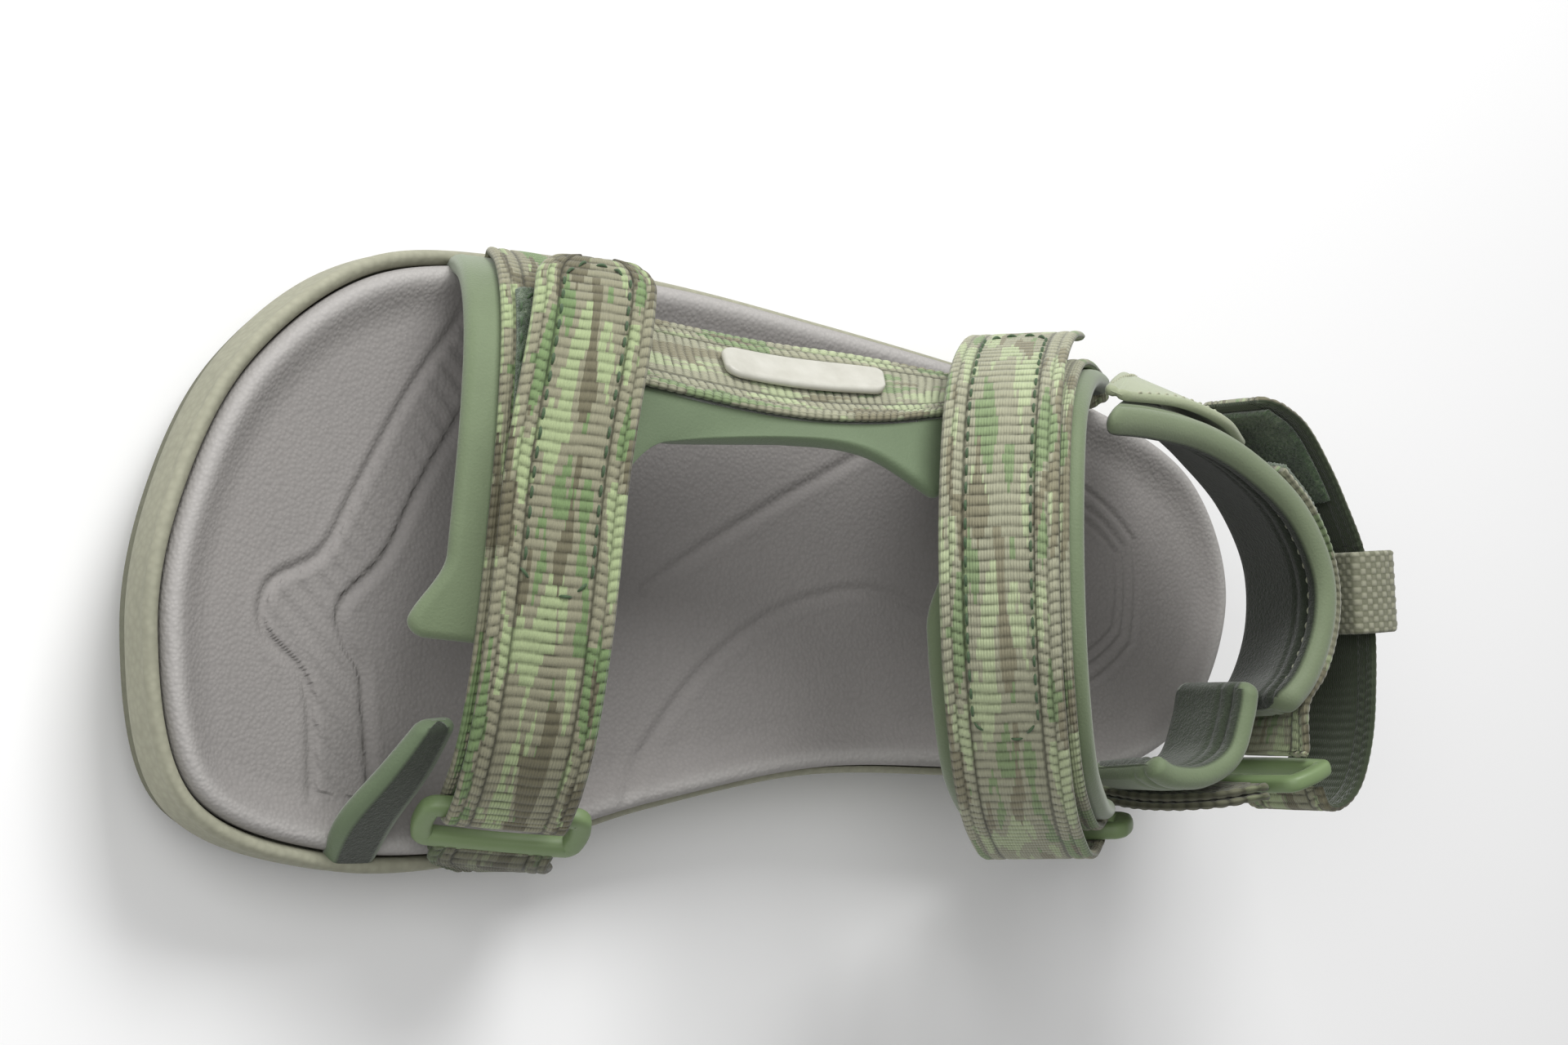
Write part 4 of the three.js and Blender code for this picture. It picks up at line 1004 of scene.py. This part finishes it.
def liner_finish(name, outer, inner):
    """Smooth green cloth where the attribute lining is 0, brushed dark lining where it is 1."""
    made = Finish(name, 0.7, sheen=0.3, specular=0.25)
    at = made.object_place()
    inside = made.attribute("lining").outputs["Fac"]
    fuzz = made.noise(at, 1300, 5, 0.7)
    soft = made.noise(at, 90, 3)
    knit = made.noise(at, 2600, 2)
    smooth_cloth = made.blend(made.sum("ADD", made.sum("MULTIPLY", soft, 0.7),
                                       made.sum("MULTIPLY", knit, 0.3)),
                              tuple(0.78 * c for c in outer[:3]) + (1,),
                              tuple(1.15 * c for c in outer[:3]) + (1,))
    brushed = made.blend(fuzz, tuple(0.45 * c for c in inner[:3]) + (1,),
                         tuple(1.7 * c for c in inner[:3]) + (1,))
    made.colour(made.blend(inside, smooth_cloth, brushed))
    made.roughness(made.node("MapRange", None, Value=inside, To_Min=0.6, To_Max=0.95).outputs[0])
    made.bump(made.sum("ADD", made.sum("MULTIPLY", knit, 0.25),
                       made.sum("MULTIPLY", fuzz, inside)), 2.6e-4)
    return made


def cushion(name, node, at, width, length, low, high, finish, body="sandal", inner=-1,
            corner=3.0,
            profile=None, steps=160):
    """A pad on a surface at(u, v, lift): width(u) across in millimetres, from low to high off the
    surface, with a half-round edge and rounded corners. profile(distance from the first edge)
    scales the thickness. inner is the side of the surface that the foot touches."""
    u = np.linspace(0, 1, steps)
    u = 0.5 - 0.5 * np.cos(np.pi * u)
    thick, middle = (high - low) / 2, (high + low) / 2
    wide = np.broadcast_to(width(u), u.shape)[:, None]
    from_end = np.minimum(u, 1 - u)[:, None] * length
    lie = np.clip(corner - from_end, 0, corner)
    half = wide / 2 - (corner - np.sqrt(np.clip(corner ** 2 - lie ** 2, 0, None)))
    round_off = np.clip(thick - from_end, 0, thick)
    body_height = np.sqrt(np.clip(thick ** 2 - round_off ** 2, (0.12 * thick) ** 2, None))
    arc = np.linspace(-np.pi / 2, np.pi / 2, 9)
    flat = np.linspace(-1, 1, 48)
    one = np.concatenate([flat, 1 + 0 * arc[1:-1], flat[::-1], -1 + 0 * arc[1:-1]])[None]
    bulge = np.concatenate([0 * flat, np.cos(arc[1:-1]), 0 * flat, -np.cos(arc[1:-1])])[None]
    rise = np.concatenate([1 + 0 * flat, -np.sin(arc[1:-1]), -1 + 0 * flat,
                           np.sin(arc[1:-1])])[None]
    across = one * (half - body_height) + bulge * body_height
    share = np.clip(across / wide + 0.5, 0, 1)
    scale = profile(across + wide / 2) if profile else 1.0
    crown = 1 + 0.06 * np.cos(np.pi * (share - 0.5))
    lift = middle + rise * body_height * scale * crown
    lining = ((rise * inner > 0.5) & (np.abs(across) < half - 1.1)).astype(float)
    made = skin(name, at(u[:, None] + 0 * across, share, lift), finish, body, {"lining": lining})
    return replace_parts(made, node)


strip_at = lambda arch, s0, s1, left, right: lambda u, v, lift: arch.at(
    s0 + (s1 - s0) * u, left(s0 + (s1 - s0) * u) * (1 - v) + right * v, lift)

green_liner = liner_finish("liner_green", paint(112, 126, 96), paint(56, 64, 50))
dim_liner = liner_finish("liner_dim", paint(104, 120, 92), paint(56, 62, 52))
front_left = lambda s: -15 - 4.5 * (1 - smooth(0.245, 0.35, s))
cushion("forefoot_outer_liner", "forefoot_lateral_pad", strip_at(forefoot, 0.235, 0.955, front_left, 5.8),
        lambda u: 5.8 - front_left(0.235 + 0.72 * u), 0.72 * forefoot.length, PAD_LOW, PAD_HIGH,
        green_liner)
inner_at, _, inner_length = band([(35, -24.5, 31.5), (32, -31, 27), (29.5, -38, 20.5),
                                  (31, -43.6, 14)],
                                 [(40, -24, 33), (39.5, -30.6, 27.6), (38.8, -37.4, 20),
                                  (39, -43.4, 13.5)])
cushion("forefoot_inner_liner", "forefoot_medial_pad", inner_at, lambda u: 5.5 + 3 * u,
        inner_length, -1.55, 1.55,
        dim_liner, inner=1, corner=1.6, steps=80)
step_left = lambda s: -12 + 4 * smooth(0.4, 0.49, s)
cushion("instep_liner", "instep_pad", strip_at(instep, 0.03, 0.9, step_left, 10.8),
        lambda u: 10.8 - step_left(0.03 + 0.87 * u), 0.87 * instep.length, PAD_LOW, PAD_HIGH,
        green_liner)

# ---- Side strap and badge ---------------------------------------------------------------------------
# Webbing along the outer side from the forefoot strap to the instep strap, on its own liner, with
# a plain moulded badge.
from_front = lambda s, lift: forefoot.at(s, FRONT_MIDDLE - FRONT_DRIFT + 9, lift)
to_step = lambda s, lift: instep.at(s, STEP_DRIFT - 9.1, lift)
side_low = [from_front(0.8, -4.5), (88, 32, 33), (106, 31.2, 35.5), to_step(0.75, -1.5)]
side_high = [from_front(0.62, -2.5), (84, 20.2, 45), (99, 20.3, 47.8), to_step(0.635, -1.5)]
side_inner = [from_front(0.46, -0.8), (66, 14.5, 44), (84, 17.2, 46.2), (97, 16.5, 49.5),
              to_step(0.53, -1.2)]
side_at, side_place, side_length = band(side_high, side_low)
side_webbing = webbing("side_webbing", side_place, 0, side_length, camo_pale)
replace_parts(side_webbing, "side_strap")
pad_at, _, pad_length = band(side_inner, side_high, side_low)
side_run = np.linalg.norm(pad_at(np.linspace(0, 1, 160), 1.0,
                                 0.0) - pad_at(np.linspace(0, 1, 160), 0.0, 0.0), axis=1)
cushion("side_liner", "side_pad", pad_at, lambda u: np.interp(u, np.linspace(0, 1, 160), side_run),
        pad_length,
        PAD_LOW + 0.6, PAD_HIGH, dim_liner, corner=2.0)

badge_finish = Finish("badge", 0.4, specular=0.5)
grain = badge_finish.noise(badge_finish.object_place(), 300, 4)
badge_finish.colour(badge_finish.blend(grain, paint(168, 166, 154), paint(204, 203, 194)))
badge_finish.bump(grain, 6e-5)
badge_at = lambda u, v, lift: side_at(0.22 + 0.5 * u, 0.3 + 0.38 * v, lift)
badge_width = np.linalg.norm(badge_at(0.5, 1.0, 0.0) - badge_at(0.5, 0.0, 0.0))
cushion("side_badge_moulding", "side_badge", badge_at, lambda u: badge_width + 0 * u,
        0.5 * side_length,
        LOOP_LOW, LOOP_LOW + 1.2, badge_finish, corner=2.2, steps=90)

# ---- Heel collar and quarter ------------------------------------------------------------------------
# A padded collar round the back of the ankle: a rolled edge, a stitched groove under it, smooth
# green cloth outside and dark brushed lining inside. A thin shell panel covers its outer side.
collar_top = [(x, y, 61) for x, y in ((132, 22), (142, 22.2), (154, 21.2), (165, 17.6),
                                      (175, 11.5), (181, 3),
                                      (181.5, -5), (178, -13), (172.5, -18.5))]
collar_bottom = [(x, y, 39 + 7 * (1 - smooth(0, 3, i))) for i, (x, y) in enumerate(
    ((152, 28.2), (157, 27.6), (163, 25.8), (171, 22.2), (180, 15.2), (186.5, 5.5), (187.5, -5),
     (184, -14.5),
     (178, -19.6)))]
collar_at, _, collar_length = band(collar_top, collar_bottom)
collar_run = np.linspace(0, 1, 200)
collar_deep = np.linalg.norm(collar_at(collar_run, 1.0, 0.0) - collar_at(collar_run, 0.0, 0.0),
                             axis=1)
collar_width = lambda u: np.interp(u, collar_run, collar_deep)
collar_finish = liner_finish("collar_cloth", paint(116, 128, 100), paint(36, 43, 31))


def rolled(down):
    """Thickness of the collar by distance from its top edge: a bead, two grooves, then foam."""
    groove = lambda at, wide, deep: 1 - deep * np.exp(-((down - at) / wide) ** 2)
    return groove(3.6, 0.6, 0.34) * groove(6.2, 0.5, 0.16) * (1 - 0.12 * smooth(6, 16, down))


cushion("collar_foam", "heel_collar", collar_at, collar_width, collar_length, -2.2, 2.2,
        collar_finish,
        corner=4.0, profile=rolled, steps=220)
line = np.linspace(0.03, 0.97, 500)
for side, label in ((-1, "inner"), (1, "outer")):
    edge_share = 3.6 / collar_width(line)
    up = side * (collar_at(line, edge_share, 2.0) - collar_at(line, edge_share, 1.0))
    spots = stitch_line(collar_at(line, edge_share, side * 1.5), up, 2.4)
    threads("collar_stitches_" + label, *spots, sage_thread, "sandal", 1.6, 0.2)

shell_finish = liner_finish("shell_cloth", paint(158, 166, 136), paint(130, 138, 112))
quarter_at, _, quarter_length = band([(136, 27.6, 57), (147, 31, 48), (158, 33, 38.5),
                                      (168.5, 32, 30)],
                                     [(139, 26.4, 59), (152, 26.6, 58), (163, 24.8, 56.5),
                                      (173, 22.4, 51)])
quarter_deep = np.linalg.norm(quarter_at(collar_run, 1.0, 0.0) - quarter_at(collar_run, 0.0, 0.0),
                              axis=1)
cushion("quarter_panel", "lateral_quarter", quarter_at, lambda u: np.interp(u, collar_run, quarter_deep),
        quarter_length, -0.8, 0.8, shell_finish, inner=1, corner=1.0,
        profile=lambda down: 1 - 0.3 * np.exp(-((down - 2.0) / 0.4) ** 2))

quarter_line = np.linspace(0.05, 0.95, 300)
for share, label in ((0.12, "low"), (0.9, "high")):
    run = quarter_at(quarter_line, share, -0.72)
    spots = stitch_line(run, quarter_at(quarter_line, share, -1.72) - run, 2.2)
    threads("quarter_stitches_" + label, *spots, sage_thread, "sandal", 1.5, 0.18)

rear_top = [(x, y, 56) for x, y in ((149.5, -27.6), (154, -29.4), (161, -29.2), (167, -26),
                                    (169.6, -20), (170.6, -14.7))]
rear_low = [(x, y, 37.5) for x, y in ((153, -28.6), (157, -30), (163, -30), (169, -27),
                                      (172, -20.7), (173.2, -14.7))]
rear_at, _, rear_length = band(rear_top, rear_low)
cushion("rear_liner", "medial_rear_pad", rear_at, lambda u: 18.6 + 0 * u, rear_length, -1.8, 1.8,
        green_liner,
        inner=1, corner=2.5, profile=rolled)

# ---- Heel strap, ring and keeper --------------------------------------------------------------------
# Webbing sewn to the back of the collar and through a ring, folded back on itself and closed with
# pile. A woven keeper holds the loose end.
HEEL_HEIGHT = 49.5
dark_back = webbing_finish("webbing_dark_back", paint(150, 150, 128), paint(178, 194, 150),
                           paint(116, 146, 98),
                           paint(104, 98, 78), 0.7, back=paint(58, 66, 50))
stations = np.array([0.44, 0.52, 0.6, 0.68, 0.76, 0.84, 0.92])
heel_edges = [np.concatenate([collar_at(stations, np.full(7, 0.5 - side * 0.385),
                                        2.2 + 2 * GAP + 0.7),
                              [(180.8, -24.6, HEEL_HEIGHT + side * 8.5),
                               (180.4, -25.8, HEEL_HEIGHT + side * 8.5)]])
              for side in (1, -1)]
_, heel_place, heel_length = band(*heel_edges)
heel_webbing = webbing("heel_strap_webbing", heel_place, 0, heel_length, camo_pale, fine=5)
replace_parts(heel_webbing, "heel_strap")
pile("heel_loops", heel_place, 0.02 * heel_length, 0.3 * heel_length, 6.6, LOOP_LOW,
     "heel_loop_patch")
ring("heel_ring_moulding", "heel_ring", np.array([182.4, -27.6, HEEL_HEIGHT]),
     np.array([0, 0, 1.0]),
     np.array([-0.94, -0.34, 0]))
anchor("heel_anchor", "heel_ring_anchor",
       [(157.5, -30.6, 14), (157.3, -31.6, 26), (159.5, -33.6, 42), (165, -33.2, 52),
        (172.1, -31.5, 57.8)],
       [(174.5, -28.6, 14), (174.5, -29.6, 24), (174.3, -30.8, 33), (173.2, -31.2, 38),
        (172.1, -31.5, 41.2)], shaded_anchor_webbing)

slack = [(184, -30.6), (186, -33.6), (189.8, -33.2), (193.5, -29.5), (195.8, -22), (196.3, -13),
         (196, -6),
         (195.2, 0), (193.05, 7.0), (189.2, 13.5), (184.8, 19.8), (179, 26), (171.5, 29.3)]
_, slack_place, slack_length = band([(x, y, HEEL_HEIGHT - 8.5) for x, y in slack],
                                    [(x, y, HEEL_HEIGHT + 8.5) for x, y in slack])
along = np.linspace(0, slack_length, 900)
hinge = along[np.linalg.norm(slack_place(along, 0 * along, 0 * along) - (193, 7, HEEL_HEIGHT),
                             axis=1).argmin()]
back = webbing("heel_return_webbing", slack_place, 0, hinge - 0.9, dark_back, fine=5)
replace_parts(back, "heel_return")
bend = webbing("heel_bend", slack_place, hinge - 1.1, hinge + 1.1, dark_back, body=None, fine=8)
metres(slack_place(hinge - 0.9, 0.0, 0.0))
metres(slack_place(hinge + 0.9, 0.0, 0.0))
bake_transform(bend)
loose = webbing("heel_tail_webbing", slack_place, hinge + 0.9, slack_length, dark_back,
                "heel_flap", 3.0, fine=5)
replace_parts(loose, "heel_tail")
rest = slack_length - hinge
pile("heel_hooks", slack_place, hinge + 0.3 * rest, hinge + 0.95 * rest, 6.5, LOOP_LOW,
     "heel_hook_patch",
     "heel_flap", side=-1)

keeper_finish = Finish("keeper_weave", 0.85, sheen=0.3, specular=0.15)
over_under = keeper_finish.attribute("relief").outputs["Fac"]
keeper_noise = keeper_finish.noise(keeper_finish.object_place(), 1200, 3)
keeper_finish.colour(keeper_finish.steps(keeper_finish.sum("ADD",
                                                           keeper_finish.sum("MULTIPLY", over_under, 0.7),
                                                           keeper_finish.sum("MULTIPLY", keeper_noise, 0.3)),
                                         [(0.1, paint(98, 100, 80)), (0.45, paint(134, 134, 116)),
                                          (0.9, paint(150, 150, 131))]))
keeper_finish.bump(keeper_noise, 1e-4)


def keeper():
    """A rounded oblong loop, 21.4 high and 8.5 deep, of flat woven tape 13 mm wide, leaning back."""
    t = np.linspace(0, 2 * np.pi, 420, endpoint=False)
    square = np.maximum(np.abs(np.cos(t)), np.abs(np.sin(t)))
    path = np.stack([np.clip(1.5 * np.cos(t) / square, -1, 1) * 2.05,
                     np.clip(1.5 * np.sin(t) / square, -1, 1) * 8.5], -1)
    path += 2.2 * np.stack([np.cos(t), np.sin(t)], -1)
    ahead = np.roll(path, -1, 0) - np.roll(path, 1, 0)
    out = np.stack([ahead[:, 1], -ahead[:, 0]], -1)
    out /= np.linalg.norm(out, axis=1, keepdims=True)
    run = np.concatenate([[0], np.cumsum(np.linalg.norm(np.diff(path, axis=0), axis=1))])[:, None]
    wide = np.linspace(-6.5, 6.5, 90)
    loop = np.concatenate([wide, wide[::-1]])[None]
    face = np.concatenate([np.ones(90), -np.ones(90)])[None]
    basket = np.sin(np.pi * run / 0.95) * np.sin(np.pi * loop / 0.95)
    relief = np.abs(basket) ** 0.5 * (0.6 + 0.4 * np.sign(basket))
    edge = np.sqrt(np.clip(1 - (np.clip(0.6 - (6.5 - np.abs(loop)), 0, 0.6) / 0.6) ** 2, 0.05, 1))
    lift = face * (0.6 * edge + 0.14 * (relief - 0.8) * edge)
    x = path[:, :1] + out[:, :1] * lift
    z = path[:, 1:] + out[:, 1:] * lift
    y = loop + 0 * x
    x, z = x * np.cos(-0.15) + z * np.sin(-0.15), z * np.cos(-0.15) - x * np.sin(-0.15)
    x, y = x * np.cos(0.1) - y * np.sin(0.1), x * np.sin(0.1) + y * np.cos(0.1)
    loops = np.stack([x, y, z], -1) + (195.5, 0.5, HEEL_HEIGHT)
    made = skin("keeper_tape", loops, keeper_finish, closed=True,
                values={"relief": relief + 0 * lift})
    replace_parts(made, "heel_keeper")


keeper()
